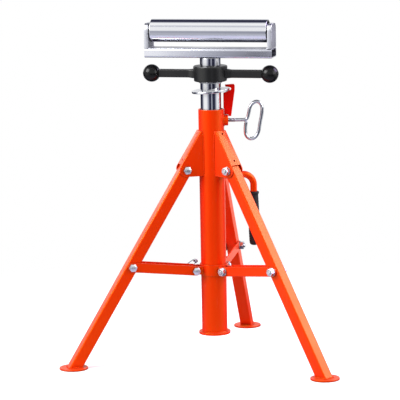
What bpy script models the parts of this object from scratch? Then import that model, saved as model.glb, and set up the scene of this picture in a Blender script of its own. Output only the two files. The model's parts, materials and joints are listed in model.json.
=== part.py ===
"""Roller stand: a folding tripod pipe stand with a screw jack and a roller head.

Run with: blender --background --python part.py
Lengths are metres, +Z is up and the floor is at z = 0. The origin is on the floor under the
middle of the stand's outer box, so the column's axis is at x = 0, y = COLUMN_Y.
The rear leg points along +Y and the roller lies along X.
"""
import math

import bmesh
import bpy
from mathutils import Matrix, Vector

MM = 0.001
GAP = 0.3 * MM
SEGMENTS = 24
SMALL_SEGMENTS = 12

# Column
COLUMN_R = 30.15 * MM
COLUMN_WALL = 3.0 * MM
COLUMN_BASE_Z = 65.0 * MM
COLUMN_TOP_Z = 597.0 * MM
BASE_DISC_RIM = 7.35 * MM
BASE_DISC_R = COLUMN_R + BASE_DISC_RIM
BASE_DISC_THICKNESS = 5.5 * MM

# Legs, in each leg's own upright plane: x is outward, z is up
LEG_AZIMUTHS = {"left": 210.0, "right": 330.0, "rear": 90.0}
LEG_LEAN = math.radians(31.6)
PIVOT_X = 65.3 * MM
PIVOT_Z = COLUMN_TOP_Z - 139.7 * MM
LEG_WIDTH = 28.0 * MM
LEG_WALL = 2.0 * MM
LEG_CORNER = 3.0 * MM
LEG_TOP_ABOVE_PIVOT = 13.0 * MM
FOOT_R = 33.8 * MM
FOOT_THICKNESS = 4.0 * MM

# Folded sheet of the brackets and struts
SHEET = 2.5 * MM
FOLD_RADIUS = 2.2 * MM
SIDE_CLEARANCE = 0.6 * MM
CHANNEL_INNER = LEG_WIDTH + 2 * SIDE_CLEARANCE
CHANNEL_OUTER = CHANNEL_INNER + 2 * SHEET
BRACKET_ABOVE_PIVOT = 90.2 * MM
BRACKET_BELOW_PIVOT = 15.8 * MM
BRACKET_CORNER = 17.0 * MM
BRACKET_WEB_GAP = 1.8 * MM
BRACKET_WEB_START = 4.5 * MM
BRACKET_HOLE_R = 2.6 * MM
BRACKET_HOLE_TOP = 87.0 * MM
BRACKET_HOLE_BOTTOM = 16.0 * MM

# Struts
COLLAR_PIVOT_X = 47.6 * MM
COLLAR_PIVOT_Z = PIVOT_Z - 241.8 * MM
STRUT_BOLT_ALONG_LEG = 261.7 * MM
STRUT_HEIGHT = 23.0 * MM
STRUT_WEB_START = 21.0 * MM
STRUT_WEB_CUT_BACK = 62.0 * MM

# Sliding collar
COLLAR_HEIGHT = 26.0 * MM
COLLAR_INNER_R = COLUMN_R + 0.5 * MM
COLLAR_WALL = 2.6 * MM
LUG_THICKNESS = 4.0 * MM
LUG_R = 9.5 * MM

# Fasteners
BOLT_R = 5.0 * MM
BOLT_HOLE_R = 5.3 * MM
HEX_FLATS = 17.0 * MM
HEX_THICKNESS = 6.8 * MM
NUT_THICKNESS = 8.4 * MM
WASHER_R = 10.0 * MM
WASHER_THICKNESS = 1.6 * MM
THREAD_SHOW = 3.5 * MM
TIP_CHAMFER = 0.8 * MM

# Lock pin with its clip
LOCK_AZIMUTH = 150.0
LOCK_PIN_R = 4.0 * MM
LOCK_BOSS_R = 8.0 * MM
LOCK_BOSS_LENGTH = 8.0 * MM
LOCK_PIN_END = 56.0 * MM
CLIP_WIRE_R = 1.1 * MM

# Inner post and jack
POST_R = 24.15 * MM
POST_WALL = 3.0 * MM
POST_BOTTOM_Z = 120.0 * MM
HUB_BOTTOM_Z = COLUMN_TOP_Z + 66.0 * MM
HUB_HEIGHT = 36.5 * MM
HUB_TOP_Z = HUB_BOTTOM_Z + HUB_HEIGHT
HUB_R = 40.0 * MM
HUB_BOTTOM_R = 38.6 * MM
WASHER_STEP = 3.0 * MM
ARM_BELOW_TOP = 18.8 * MM
ARM_Z = HUB_TOP_Z - ARM_BELOW_TOP
ARM_HEIGHT = 19.0 * MM
ARM_DEPTH = 15.0 * MM
ARM_BEVEL = 3.0 * MM
BALL_X = 142.3 * MM
BALL_R = 20.7 * MM
SCREW_R = 15.0 * MM
SCREW_CHAMFER = 1.5 * MM
SCREW_LENGTH = 175.0 * MM
SOCKET_TOP_Z = HUB_TOP_Z + 18.9 * MM
SOCKET_BORE_R = 17.0 * MM
SOCKET_FLOOR = 6.0 * MM

# Roller head
BASE_LENGTH = 305.5 * MM
BASE_DEPTH = 51.0 * MM
BASE_BOTTOM_Z = SOCKET_TOP_Z + 0.8 * MM
BASE_HEIGHT = 22.5 * MM
BASE_TOP_Z = BASE_BOTTOM_Z + BASE_HEIGHT
BASE_WALL = 3.0 * MM
BASE_CORNER = 5.0 * MM
PLATE_THICKNESS = 10.4 * MM
PLATE_TOP_Z = BASE_TOP_Z + 57.8 * MM
PLATE_CORNER = 12.0 * MM
ROLLER_R = 27.0 * MM
ROLLER_Z = PLATE_TOP_Z - 18.3 * MM
ROLLER_END_GAP = 2.6 * MM
ROLLER_WALL = 2.5 * MM
ROLLER_SEGMENTS = 32
AXLE_R = 6.0 * MM

# Lock ring and its hook
RING_OUTER_R = 44.4 * MM
RING_INNER_R = 24.75 * MM
RING_THICKNESS = 5.0 * MM
RING_TILT = math.radians(4.2)
RING_HINGE_X = 43.0 * MM
RING_HINGE_Z = COLUMN_TOP_Z + 46.6 * MM
CLAMP_AZIMUTH = 15.0
HOOK_THICKNESS = 6.0 * MM
HOOK_INNER_X = POST_R + 5.25 * MM
HOOK_FOOT_X = 47.2 * MM
HOOK_OUTER_X = RING_HINGE_X + 13.4 * MM
HOOK_LIP = 11.6 * MM
HOOK_CORNER = 4.0 * MM
HOOK_NOTCH_R = 3.6 * MM

# Clamp screw
CLAMP_BELOW_TOP = 27.0 * MM
CLAMP_Z = COLUMN_TOP_Z - CLAMP_BELOW_TOP
BOSS_R = 12.8 * MM
BOSS_END_X = 39.8 * MM
CLAMP_THREAD_R = 4.7 * MM
CLAMP_ROD_R = 4.0 * MM
CLAMP_THREAD_END_X = 56.0 * MM
CLAMP_TIP_R = 5.5 * MM
# The bent handle's centre line in millimetres, (out from the column, up from the screw)
LOOP_POINTS = [
    (76.0, 0.0), (81.5, 1.2), (85.5, 5.5), (89.0, 18.1), (91.2, 27.6), (96.1, 36.9), (106.2, 42.6),
    (115.6, 38.6), (120.1, 27.0), (118.7, 10.7), (115.0, -7.0), (111.4, -27.4), (103.7, -40.8),
    (92.8, -45.3), (84.1, -40.4), (80.3, -30.8), (80.5, -15.8), (82.0, -5.2)]

# Carry handle
HANDLE_AZIMUTH = 30.0
HANDLE_R = 8.0 * MM
HANDLE_Z = PIVOT_Z - 19.3 * MM
HANDLE_X = 102.0 * MM
HANDLE_BEND = 27.0 * MM
GRIP_LENGTH = 129.3 * MM
GRIP_TOP_Z = HANDLE_Z - 43.0 * MM
GRIP_BOTTOM_Z = GRIP_TOP_Z - GRIP_LENGTH
GRIP_R = 13.2 * MM

ORANGE = ("orange_powder_coat", (0.86, 0.06, 0.003), 0.42, 0.0)
RED = ("red_paint", (0.62, 0.0, 0.004), 0.38, 0.0)
CHROME = ("chrome", (0.82, 0.83, 0.86), 0.12, 1.0)
ZINC = ("zinc_plate", (0.62, 0.64, 0.68), 0.34, 1.0)
BLACK_CAST = ("black_cast", (0.018, 0.018, 0.018), 0.45, 0.0)
BLACK_BALL = ("black_knob", (0.012, 0.012, 0.012), 0.22, 0.0)
RUBBER = ("black_rubber", (0.015, 0.015, 0.016), 0.6, 0.0)
STEEL = ("bright_steel", (0.55, 0.56, 0.58), 0.3, 1.0)


# Scene and materials

def clear_scene():
    for item in list(bpy.data.objects):
        bpy.data.objects.remove(item, do_unlink=True)


def new_collection(name, hidden=False):
    collection = bpy.data.collections.new(name)
    bpy.context.scene.collection.children.link(collection)
    collection.hide_render = hidden
    return collection


def make_material(look, name):
    label, colour, roughness, metallic = look
    material = bpy.data.materials.new(name + "_" + label)
    material.use_nodes = True
    shader = material.node_tree.nodes["Principled BSDF"]
    shader.inputs["Base Color"].default_value = (*colour, 1.0)
    shader.inputs["Roughness"].default_value = roughness
    shader.inputs["Metallic"].default_value = metallic
    material.diffuse_color = (*colour, 1.0)
    return material


def shade_round(mesh, angle=35.0):
    for polygon in mesh.polygons:
        polygon.use_smooth = True
    mesh.set_sharp_from_angle(angle=math.radians(angle))


def add_part(name, mesh, look, parent=None, location=(0, 0, 0), rotation=(0, 0, 0)):
    mesh.name = name
    part = bpy.data.objects.new(name, mesh)
    mesh.materials.clear()
    mesh.materials.append(make_material(look, name))
    PARTS.objects.link(part)
    part.location = location
    part.rotation_euler = rotation
    part.parent = parent or STAND
    shade_round(mesh)
    return part


def add_copies(name, mesh, look, axes, location=(0, 0, 0), rotation=(0, 0, 0)):
    """The same mesh once for each leg, as an object of its own."""
    first = None
    for side, axis in axes.items():
        if first is None:
            first = add_part(name + "_" + side, mesh, look, axis, location, rotation)
            continue
        part = bpy.data.objects.new(name + "_" + side, first.data)
        PARTS.objects.link(part)
        part.location = location
        part.rotation_euler = rotation
        part.parent = axis


def add_stand():
    """The empty on the floor under the column that carries every part."""
    stand = bpy.data.objects.new("stand", None)
    PARTS.objects.link(stand)
    stand.location = (0, COLUMN_Y, 0)
    return stand


def add_axis(name, azimuth):
    """An empty turned about the column, so that its x axis points outward."""
    axis = bpy.data.objects.new(name, None)
    PARTS.objects.link(axis)
    axis.parent = STAND
    axis.rotation_euler = (0, 0, math.radians(azimuth))
    return axis


# Shapes

def finish(bm):
    bm.normal_update()
    bmesh.ops.recalc_face_normals(bm, faces=bm.faces)
    mesh = bpy.data.meshes.new("shape")
    bm.to_mesh(mesh)
    bm.free()
    return mesh


def box(size, centre=(0, 0, 0), bevel=0.0, along=0, segments=4):
    """A box whose four edges along one axis are rounded by the bevel."""
    bm = bmesh.new()
    bmesh.ops.create_cube(bm, size=1.0)
    bmesh.ops.scale(bm, vec=size, verts=bm.verts)
    if bevel > 0:
        edges = [e for e in bm.edges if abs((e.verts[0].co - e.verts[1].co)[along]) > size[along] / 2]
        bmesh.ops.bevel(bm, geom=edges, offset=bevel, segments=segments, profile=0.5, affect="EDGES")
    bmesh.ops.translate(bm, vec=centre, verts=bm.verts)
    return finish(bm)


def cylinder(radius, start, end, segments=SEGMENTS, end_radius=None, chamfer=0.0):
    """A cylinder or cone between two points; the chamfer is on the end's rim."""
    start = Vector(start)
    end = Vector(end)
    length = (end - start).length
    bm = bmesh.new()
    bmesh.ops.create_cone(
        bm, cap_ends=True, segments=segments, radius1=radius,
        radius2=radius if end_radius is None else end_radius, depth=length)
    if chamfer > 0:
        rim = [e for e in bm.edges if min(v.co.z for v in e.verts) > length / 2 - 0.00001]
        bmesh.ops.bevel(bm, geom=rim, offset=chamfer, segments=1, profile=0.5, affect="EDGES")
    turn = Vector((0, 0, 1)).rotation_difference(end - start).to_matrix().to_4x4()
    bm.transform(Matrix.Translation((start + end) / 2) @ turn)
    return finish(bm)


def evaluated(mesh, add_modifiers):
    """The mesh after modifiers that add_modifiers puts on a temporary object."""
    carrier = bpy.data.objects.new("carrier", mesh)
    PARTS.objects.link(carrier)
    add_modifiers(carrier)
    bpy.context.view_layer.update()
    graph = bpy.context.evaluated_depsgraph_get()
    result = bpy.data.meshes.new_from_object(carrier.evaluated_get(graph))
    bpy.data.objects.remove(carrier)
    return result


def turned(profile, steps=SEGMENTS):
    """A profile of (radius, z) points turned about Z, top to bottom down the outside."""
    mesh = bpy.data.meshes.new("profile")
    closed = profile[0][0] > 0
    points = [(r, 0, z) for r, z in profile]
    count = len(points)
    edges = [(i, i + 1) for i in range(count - 1)]
    if closed:
        edges.append((count - 1, 0))
    mesh.from_pydata(points, edges, [])

    def modify(carrier):
        screw = carrier.modifiers.new("turn", "SCREW")
        screw.axis = "Z"
        screw.steps = steps
        screw.render_steps = steps
        screw.use_merge_vertices = True
        screw.merge_threshold = 0.00001
        screw.use_normal_calculate = True

    result = evaluated(mesh, modify)
    bm = bmesh.new()
    bm.from_mesh(result)
    bmesh.ops.remove_doubles(bm, verts=bm.verts, dist=0.00001)
    return finish(bm)


def ring(outer, inner, bottom, top, bevel=0.4 * MM, steps=SEGMENTS):
    return turned([
        (inner, top), (outer - bevel, top), (outer, top - bevel),
        (outer, bottom + bevel), (outer - bevel, bottom), (inner, bottom)], steps)


def arc(centre, radius, start, end, count):
    """Points on a circle between two angles in degrees."""
    angles = [math.radians(start + (end - start) * i / (count - 1)) for i in range(count)]
    return [(centre[0] + radius * math.cos(a), centre[1] + radius * math.sin(a)) for a in angles]


def circle(centre, radius, count):
    """A hole's outline, which runs the other way round than an outer outline."""
    return list(reversed(arc(centre, radius, 0, 360 - 360 / count, count)))


def plate(outlines, thickness):
    """A flat plate standing in the XZ plane; outlines after the first are holes."""
    curve = bpy.data.curves.new("outline", "CURVE")
    curve.dimensions = "2D"
    curve.fill_mode = "BOTH"
    curve.extrude = thickness / 2
    for outline in outlines:
        spline = curve.splines.new("POLY")
        spline.points.add(len(outline) - 1)
        for point, (x, z) in zip(spline.points, outline):
            point.co = (x, z, 0, 1)
        spline.use_cyclic_u = True
    carrier = bpy.data.objects.new("outline", curve)
    PARTS.objects.link(carrier)
    bpy.context.view_layer.update()
    mesh = bpy.data.meshes.new_from_object(carrier)
    bpy.data.objects.remove(carrier)
    bpy.data.curves.remove(curve)
    bm = bmesh.new()
    bm.from_mesh(mesh)
    bmesh.ops.remove_doubles(bm, verts=bm.verts, dist=0.00001)
    bm.transform(Matrix.Rotation(math.radians(90), 4, "X"))
    return finish(bm)


def rod(points, radius, resolution=2):
    """A round rod along smooth points, with closed ends."""
    curve = bpy.data.curves.new("rod", "CURVE")
    curve.dimensions = "3D"
    curve.bevel_depth = radius
    curve.bevel_resolution = resolution
    curve.use_fill_caps = True
    spline = curve.splines.new("POLY")
    spline.points.add(len(points) - 1)
    for point, place in zip(spline.points, points):
        point.co = (*place, 1)
    carrier = bpy.data.objects.new("rod", curve)
    PARTS.objects.link(carrier)
    bpy.context.view_layer.update()
    mesh = bpy.data.meshes.new_from_object(carrier)
    bpy.data.objects.remove(carrier)
    bpy.data.curves.remove(curve)
    bm = bmesh.new()
    bm.from_mesh(mesh)
    bmesh.ops.remove_doubles(bm, verts=bm.verts, dist=0.00001)
    return finish(bm)


def smooth_path(points, steps):
    """A smooth curve through the points, by cubic pieces between neighbours."""
    places = [Vector(p) for p in points]
    path = []
    for i in range(len(places) - 1):
        before = places[max(i - 1, 0)]
        after = places[min(i + 2, len(places) - 1)]
        a = places[i]
        b = places[i + 1]
        for step in range(steps):
            t = step / steps
            path.append(0.5 * (
                2 * a + (b - before) * t + (2 * before - 5 * a + 4 * b - after) * t * t
                + (3 * a - before - 3 * b + after) * t ** 3))
    path.append(places[-1])
    return path


def combine(mesh, others, operation):
    """Cut or join other meshes with the exact boolean, one after another."""
    cutters = []
    for other in others:
        cutter = bpy.data.objects.new("cutter", other)
        cutter.display_type = "WIRE"
        cutter.hide_render = True
        CUTTERS.objects.link(cutter)
        cutters.append(cutter)

    def modify(carrier):
        for cutter in cutters:
            boolean = carrier.modifiers.new("combine", "BOOLEAN")
            boolean.operation = operation
            boolean.solver = "EXACT"
            boolean.object = cutter

    result = evaluated(mesh, modify)
    for cutter in cutters:
        bpy.data.objects.remove(cutter)
    bm = bmesh.new()
    bm.from_mesh(result)
    bmesh.ops.remove_doubles(bm, verts=bm.verts, dist=0.000002)
    bmesh.ops.dissolve_degenerate(bm, edges=bm.edges, dist=0.000002)
    return finish(bm)


def cut(mesh, *others):
    return combine(mesh, others, "DIFFERENCE")


def join(mesh, *others):
    return combine(mesh, others, "UNION")


def moved(mesh, matrix):
    mesh.transform(matrix)
    return mesh


def bore(radius, x, z, half_length):
    """A cutter along Y through a point of the upright plane."""
    return cylinder(radius, (x, -half_length, z), (x, half_length, z), SMALL_SEGMENTS)


# The leg's own axes

def along_leg(out, up):
    """A point by its distance out from the leg's line and up along it, from the pivot."""
    x = out * math.cos(LEG_LEAN) - up * math.sin(LEG_LEAN)
    z = out * math.sin(LEG_LEAN) + up * math.cos(LEG_LEAN)
    return x, z


def up_along_leg(out, z):
    """How far up the leg a line at that distance out reaches a height over the pivot."""
    return (z - out * math.sin(LEG_LEAN)) / math.cos(LEG_LEAN)


STRUT_BOLT_X = PIVOT_X + STRUT_BOLT_ALONG_LEG * math.sin(LEG_LEAN)
STRUT_BOLT_Z = PIVOT_Z - STRUT_BOLT_ALONG_LEG * math.cos(LEG_LEAN)
STRUT_LENGTH = math.hypot(STRUT_BOLT_X - COLLAR_PIVOT_X, STRUT_BOLT_Z - COLLAR_PIVOT_Z)
STRUT_RISE = math.atan2(STRUT_BOLT_Z - COLLAR_PIVOT_Z, STRUT_BOLT_X - COLLAR_PIVOT_X)
FOOT_X = PIVOT_X + PIVOT_Z * math.tan(LEG_LEAN)
COLUMN_Y = -FOOT_X / 4


# Column and what is fixed to it

def make_column():
    tube = ring(COLUMN_R, COLUMN_R - COLUMN_WALL, COLUMN_BASE_Z, COLUMN_TOP_Z)
    turn = Matrix.Rotation(math.radians(CLAMP_AZIMUTH), 4, "Z")
    hole = moved(cylinder(CLAMP_TIP_R + GAP, (POST_R, 0, CLAMP_Z), (BOSS_END_X, 0, CLAMP_Z)), turn)
    add_part("column_tube", cut(tube, hole), ORANGE)
    disc_top = COLUMN_BASE_Z - GAP
    disc = ring(BASE_DISC_R, COLUMN_R - COLUMN_WALL, disc_top - BASE_DISC_THICKNESS, disc_top, 0.8 * MM)
    add_part("column_base_disc", disc, ORANGE)


def bracket_outline():
    """Side outline in the leg's plane, from the tube out along the bottom and up the web."""
    web_out = LEG_WIDTH / 2 + BRACKET_WEB_GAP + SHEET
    bottom = -BRACKET_BELOW_PIVOT
    centre_z = bottom + BRACKET_CORNER
    centre_up = up_along_leg(web_out - BRACKET_CORNER, centre_z)
    centre = along_leg(web_out - BRACKET_CORNER, centre_up)
    top = BRACKET_ABOVE_PIVOT
    top_x = along_leg(web_out, up_along_leg(web_out, top))[0]
    inner_x = 12.0 * MM - PIVOT_X
    corner = arc(centre, BRACKET_CORNER, -90, math.degrees(LEG_LEAN), 8)
    return [(inner_x, bottom)] + corner + [(top_x, top), (inner_x, top)]


def round_folds(mesh, edge_test, radius):
    """Round the edges whose two ends pass the test."""
    bm = bmesh.new()
    bm.from_mesh(mesh)
    bmesh.ops.dissolve_limit(bm, angle_limit=0.01, verts=bm.verts, edges=bm.edges)
    edges = [e for e in bm.edges if edge_test(e.verts[0].co, e.verts[1].co)]
    bmesh.ops.bevel(bm, geom=edges, offset=radius, segments=2, profile=0.5, affect="EDGES")
    return finish(bm)


def make_brackets(axes):
    web_out = LEG_WIDTH / 2 + BRACKET_WEB_GAP + SHEET
    solid = plate([bracket_outline()], CHANNEL_OUTER)

    def is_fold(a, b):
        on_web = all(
            abs(p.x * math.cos(LEG_LEAN) + p.z * math.sin(LEG_LEAN) - web_out) < 0.00002 for p in (a, b))
        return on_web and abs(a.y - b.y) < 0.00001 and (a - b).length > BRACKET_CORNER

    solid = round_folds(solid, is_fold, FOLD_RADIUS)
    reach = 1.5 * BRACKET_ABOVE_PIVOT
    inner = web_out - SHEET
    start = BRACKET_WEB_START
    inside = [
        along_leg(inner, reach), along_leg(-reach, reach), along_leg(-reach, -reach),
        along_leg(reach, -reach), along_leg(reach, start), along_leg(inner, start)]
    room = plate([inside], CHANNEL_INNER)
    column = cylinder(COLUMN_R + GAP, (-PIVOT_X, 0, -0.1), (-PIVOT_X, 0, 0.2), 48)
    pivot_hole = bore(BOLT_HOLE_R, 0, 0, CHANNEL_OUTER)
    web_holes = []
    for up in (BRACKET_HOLE_TOP, BRACKET_HOLE_BOTTOM):
        x0, z0 = along_leg(inner - 4 * MM, up)
        x1, z1 = along_leg(web_out + 4 * MM, up)
        web_holes.append(cylinder(BRACKET_HOLE_R, (x0, 0, z0), (x1, 0, z1), SMALL_SEGMENTS))
    mesh = cut(solid, room, column, pivot_hole, *web_holes)
    add_copies("leg_bracket", mesh, ORANGE, axes, (PIVOT_X, 0, PIVOT_Z))


def hex_prism(y_start, thickness):
    """A hexagon along Y whose far corners are turned off, from y_start outward."""
    radius = HEX_FLATS / math.sqrt(3)
    sign = 1 if thickness > 0 else -1
    far = y_start + thickness
    body = cylinder(radius, (0, y_start, 0), (0, far, 0), 6)
    cone_length = 12 * MM
    rim = HEX_FLATS / 2 * 0.98
    base = (0, far - sign * cone_length, 0)
    cone = cylinder(rim + cone_length * 1.7, base, (0, far, 0), SMALL_SEGMENTS, rim)
    return combine(body, [cone], "INTERSECT")


def bolt_with_head():
    """Head on the +Y side, plain shank through to the -Y side, past the nut."""
    face = CHANNEL_OUTER / 2 + GAP
    end = face + WASHER_THICKNESS + NUT_THICKNESS + THREAD_SHOW
    head = hex_prism(face, HEX_THICKNESS)
    shank = cylinder(BOLT_R, (0, face + 2 * MM, 0), (0, -end, 0), SMALL_SEGMENTS, chamfer=TIP_CHAMFER)
    return join(head, shank)


def washer_and_nut():
    """A washer against the sheet's -Y face with the nut pressed on it."""
    face = -(CHANNEL_OUTER / 2 + GAP)
    seat = face - WASHER_THICKNESS
    washer = cylinder(WASHER_R, (0, face, 0), (0, seat, 0), 16)
    return join(washer, hex_prism(seat + 0.2 * MM, -NUT_THICKNESS))


def nut_with_bore():
    return cut(washer_and_nut(), bore(BOLT_R + GAP, 0, 0, CHANNEL_OUTER * 2))


def make_pivot_fasteners(axes):
    place = (PIVOT_X, 0, PIVOT_Z)
    add_copies("leg_pivot_bolt", bolt_with_head(), ZINC, axes, place)
    add_copies("leg_pivot_nut", nut_with_bore(), ZINC, axes, place)


def make_clamp_boss(axis):
    start = COLUMN_R - 2 * MM
    mesh = cylinder(BOSS_R, (start, 0, CLAMP_Z), (BOSS_END_X, 0, CLAMP_Z), chamfer=1.5 * MM)
    column = cylinder(COLUMN_R + GAP, (0, 0, CLAMP_Z - 0.05), (0, 0, CLAMP_Z + 0.05), 48)
    hole = cylinder(CLAMP_TIP_R + GAP, (0, 0, CLAMP_Z), (0.1, 0, CLAMP_Z))
    add_part("clamp_boss", cut(mesh, column, hole), ORANGE, axis)


def hook_outline():
    """The hook in its upright plane: a long leg, a notch for the ring and a lip over it."""
    inner = COLUMN_R + GAP
    over_boss = CLAMP_Z + BOSS_R + 0.6 * MM
    beside_boss = BOSS_END_X + 0.5 * MM
    foot = over_boss - 3.8 * MM
    lip = RING_HINGE_Z + HOOK_LIP
    corner_x = HOOK_OUTER_X - HOOK_CORNER
    lip_x = HOOK_INNER_X + 4.0 * MM
    notch = (RING_HINGE_X + 1.4 * MM, RING_HINGE_Z + GAP)
    return [
        (inner, over_boss), (beside_boss, over_boss), (beside_boss, foot), (HOOK_FOOT_X, foot),
        (HOOK_OUTER_X, RING_HINGE_Z - 2.6 * MM), (HOOK_OUTER_X, lip - HOOK_CORNER),
        *arc((corner_x, lip - HOOK_CORNER), HOOK_CORNER, 15, 90, 5),
        (lip_x, lip - 1.2 * MM), (lip_x + 1.0 * MM, RING_HINGE_Z + HOOK_LIP / 2),
        *reversed(arc(notch, HOOK_NOTCH_R, -75, 75, 7)),
        (HOOK_INNER_X, RING_HINGE_Z - 9.4 * MM), (HOOK_INNER_X, COLUMN_TOP_Z + 2.4 * MM),
        (inner, COLUMN_TOP_Z + 0.6 * MM)]


def make_hook(axis):
    add_part("ring_hook", plate([hook_outline()], HOOK_THICKNESS), RED, axis)


def make_handle(axis):
    centre = (HANDLE_X - HANDLE_BEND, HANDLE_Z - HANDLE_BEND)
    bend = [(x, 0, z) for x, z in arc(centre, HANDLE_BEND, 90, 0, 9)]
    points = [(COLUMN_R - 3 * MM, 0, HANDLE_Z)] + bend + [(HANDLE_X, 0, GRIP_BOTTOM_Z + 9 * MM)]
    bar = rod(points, HANDLE_R, 3)
    column = cylinder(COLUMN_R + GAP, (0, 0, HANDLE_Z - 0.05), (0, 0, HANDLE_Z + 0.05), 48)
    add_part("carry_handle", cut(bar, column), ORANGE, axis)
    height = GRIP_LENGTH
    bore_r = HANDLE_R + GAP
    floor = 6 * MM
    profile = [
        (0, floor), (bore_r, floor), (bore_r, height), (10.6 * MM, height), (12.4 * MM, height - 1.5 * MM),
        (12.4 * MM, height - 5 * MM), (10.8 * MM, height - 8 * MM), (11.4 * MM, height - 22 * MM),
        (GRIP_R, height - 60 * MM), (GRIP_R, height - 85 * MM), (12.2 * MM, 18 * MM),
        (11.2 * MM, 6 * MM), (9.0 * MM, 1.6 * MM), (5.0 * MM, 0), (0, 0)]
    add_part("handle_grip", turned(profile), RUBBER, axis, (HANDLE_X, 0, GRIP_BOTTOM_Z))


# Legs

def make_legs(axes):
    """Square tube with level cut ends, its origin on the leg's pivot."""
    half = LEG_WIDTH / 2
    foot = FOOT_THICKNESS + GAP - PIVOT_Z

    def outline(inset, extend):
        h = half - inset
        top = LEG_TOP_ABOVE_PIVOT + extend
        bottom = foot - extend
        return [
            along_leg(h, up_along_leg(h, top)), along_leg(-h, up_along_leg(-h, top)),
            along_leg(-h, up_along_leg(-h, bottom)), along_leg(h, up_along_leg(h, bottom))]

    solid = plate([outline(0, 0)], LEG_WIDTH)

    def is_corner(a, b):
        return abs(a.y - b.y) < 0.00001 and (a - b).length > PIVOT_Z / 2

    solid = round_folds(solid, is_corner, LEG_CORNER)
    inside = plate([outline(LEG_WALL, 20 * MM)], LEG_WIDTH - 2 * LEG_WALL)
    bolt_x, bolt_z = along_leg(0, -STRUT_BOLT_ALONG_LEG)
    pivot_hole = bore(BOLT_HOLE_R, 0, 0, LEG_WIDTH)
    strut_hole = bore(BOLT_HOLE_R, bolt_x, bolt_z, LEG_WIDTH)
    mesh = cut(solid, inside, pivot_hole, strut_hole)
    place = (PIVOT_X, 0, PIVOT_Z)
    add_copies("leg_tube", mesh, ORANGE, axes, place)
    disc = ring_disc(FOOT_R, 0, FOOT_THICKNESS, 0.8 * MM)
    disc.transform(Matrix.Translation((FOOT_X - PIVOT_X, 0, -PIVOT_Z)))
    add_copies("foot_disc", disc, ORANGE, axes, place)


def ring_disc(radius, bottom, top, bevel):
    return turned([(0, top), (radius - bevel, top), (radius, top - bevel), (radius, bottom + bevel),
                   (radius - bevel, bottom), (0, bottom)])


# Collar and struts

def make_collar(axes, lock_axis):
    band = ring(COLLAR_INNER_R + COLLAR_WALL, COLLAR_INNER_R, -COLLAR_HEIGHT / 2, COLLAR_HEIGHT / 2, 0.5 * MM)
    lug_y = CHANNEL_INNER / 2 - SIDE_CLEARANCE - LUG_THICKNESS / 2
    root_x = COLLAR_INNER_R - 1.15 * MM
    outline = [(root_x, -LUG_R)] + arc((COLLAR_PIVOT_X, 0), LUG_R, -90, 90, 5) + [(root_x, LUG_R)]
    hole = circle((COLLAR_PIVOT_X, 0), BOLT_HOLE_R, SMALL_SEGMENTS)
    lugs = []
    for azimuth in LEG_AZIMUTHS.values():
        turn = Matrix.Rotation(math.radians(azimuth), 4, "Z")
        for sign in (-1, 1):
            lug = plate([outline, hole], LUG_THICKNESS)
            lugs.append(moved(lug, turn @ Matrix.Translation((0, sign * lug_y, 0))))
    turn = Matrix.Rotation(math.radians(LOCK_AZIMUTH), 4, "Z")
    boss_end = COLLAR_INNER_R + COLLAR_WALL + LOCK_BOSS_LENGTH
    boss = moved(cylinder(LOCK_BOSS_R, (COLLAR_INNER_R + 1 * MM, 0, 0), (boss_end, 0, 0), 16), turn)
    mesh = join(band, *lugs, boss)
    pin_hole = moved(cylinder(LOCK_PIN_R + GAP, (20 * MM, 0, 0), (boss_end + 5 * MM, 0, 0), 16), turn)
    mesh = cut(mesh, pin_hole)
    add_part("slide_collar", mesh, ORANGE, None, (0, 0, COLLAR_PIVOT_Z))
    place = (COLLAR_PIVOT_X, 0, COLLAR_PIVOT_Z)
    add_copies("collar_bolt", bolt_with_head(), ZINC, axes, place)
    add_copies("collar_nut", nut_with_bore(), ZINC, axes, place)
    make_lock_pin(lock_axis)


def make_lock_pin(axis):
    start = COLUMN_R + 0.7 * MM
    pin = cylinder(LOCK_PIN_R, (start, 0, 0), (LOCK_PIN_END, 0, 0), 16)
    eye = cylinder(CLIP_WIRE_R + GAP, (LOCK_PIN_END - 4 * MM, -0.01, 0), (LOCK_PIN_END - 4 * MM, 0.01, 0), 12)
    add_part("lock_pin", cut(pin, eye), ZINC, axis, (0, 0, COLLAR_PIVOT_Z))
    points = clip_points()
    add_part("lock_pin_clip", rod(points, CLIP_WIRE_R, 1), STEEL, axis, (0, 0, COLLAR_PIVOT_Z))


def clip_points():
    """Wire through the pin's eye, up into a coil of two turns and out into a tail."""
    eye_x = LOCK_PIN_END - 4 * MM
    coil_x = 56.0 * MM
    coil_z = 12.0 * MM
    coil_r = 4.2 * MM
    points = [
        (eye_x, -6.0 * MM, -1.0 * MM), (eye_x, -4.6 * MM, 0), (eye_x, 0, 0), (eye_x, 4.6 * MM, 0.2 * MM),
        (eye_x + 1.0 * MM, 7.0 * MM, 2.5 * MM)]
    turns = 2.25
    count = 20
    pitch = 3.0 * MM
    for i in range(count + 1):
        angle = 2 * math.pi * turns * i / count - math.pi / 2
        y = 7.5 * MM - pitch * turns * i / count
        points.append((coil_x + coil_r * math.cos(angle), y, coil_z + coil_r * math.sin(angle)))
    x, y, z = points[-1]
    points += [(x + 8 * MM, y - 1.5 * MM, z + 0.6 * MM), (x + 20 * MM, y - 3 * MM, z - 6 * MM),
               (x + 30 * MM, y - 4 * MM, z - 12 * MM)]
    return points


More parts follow.
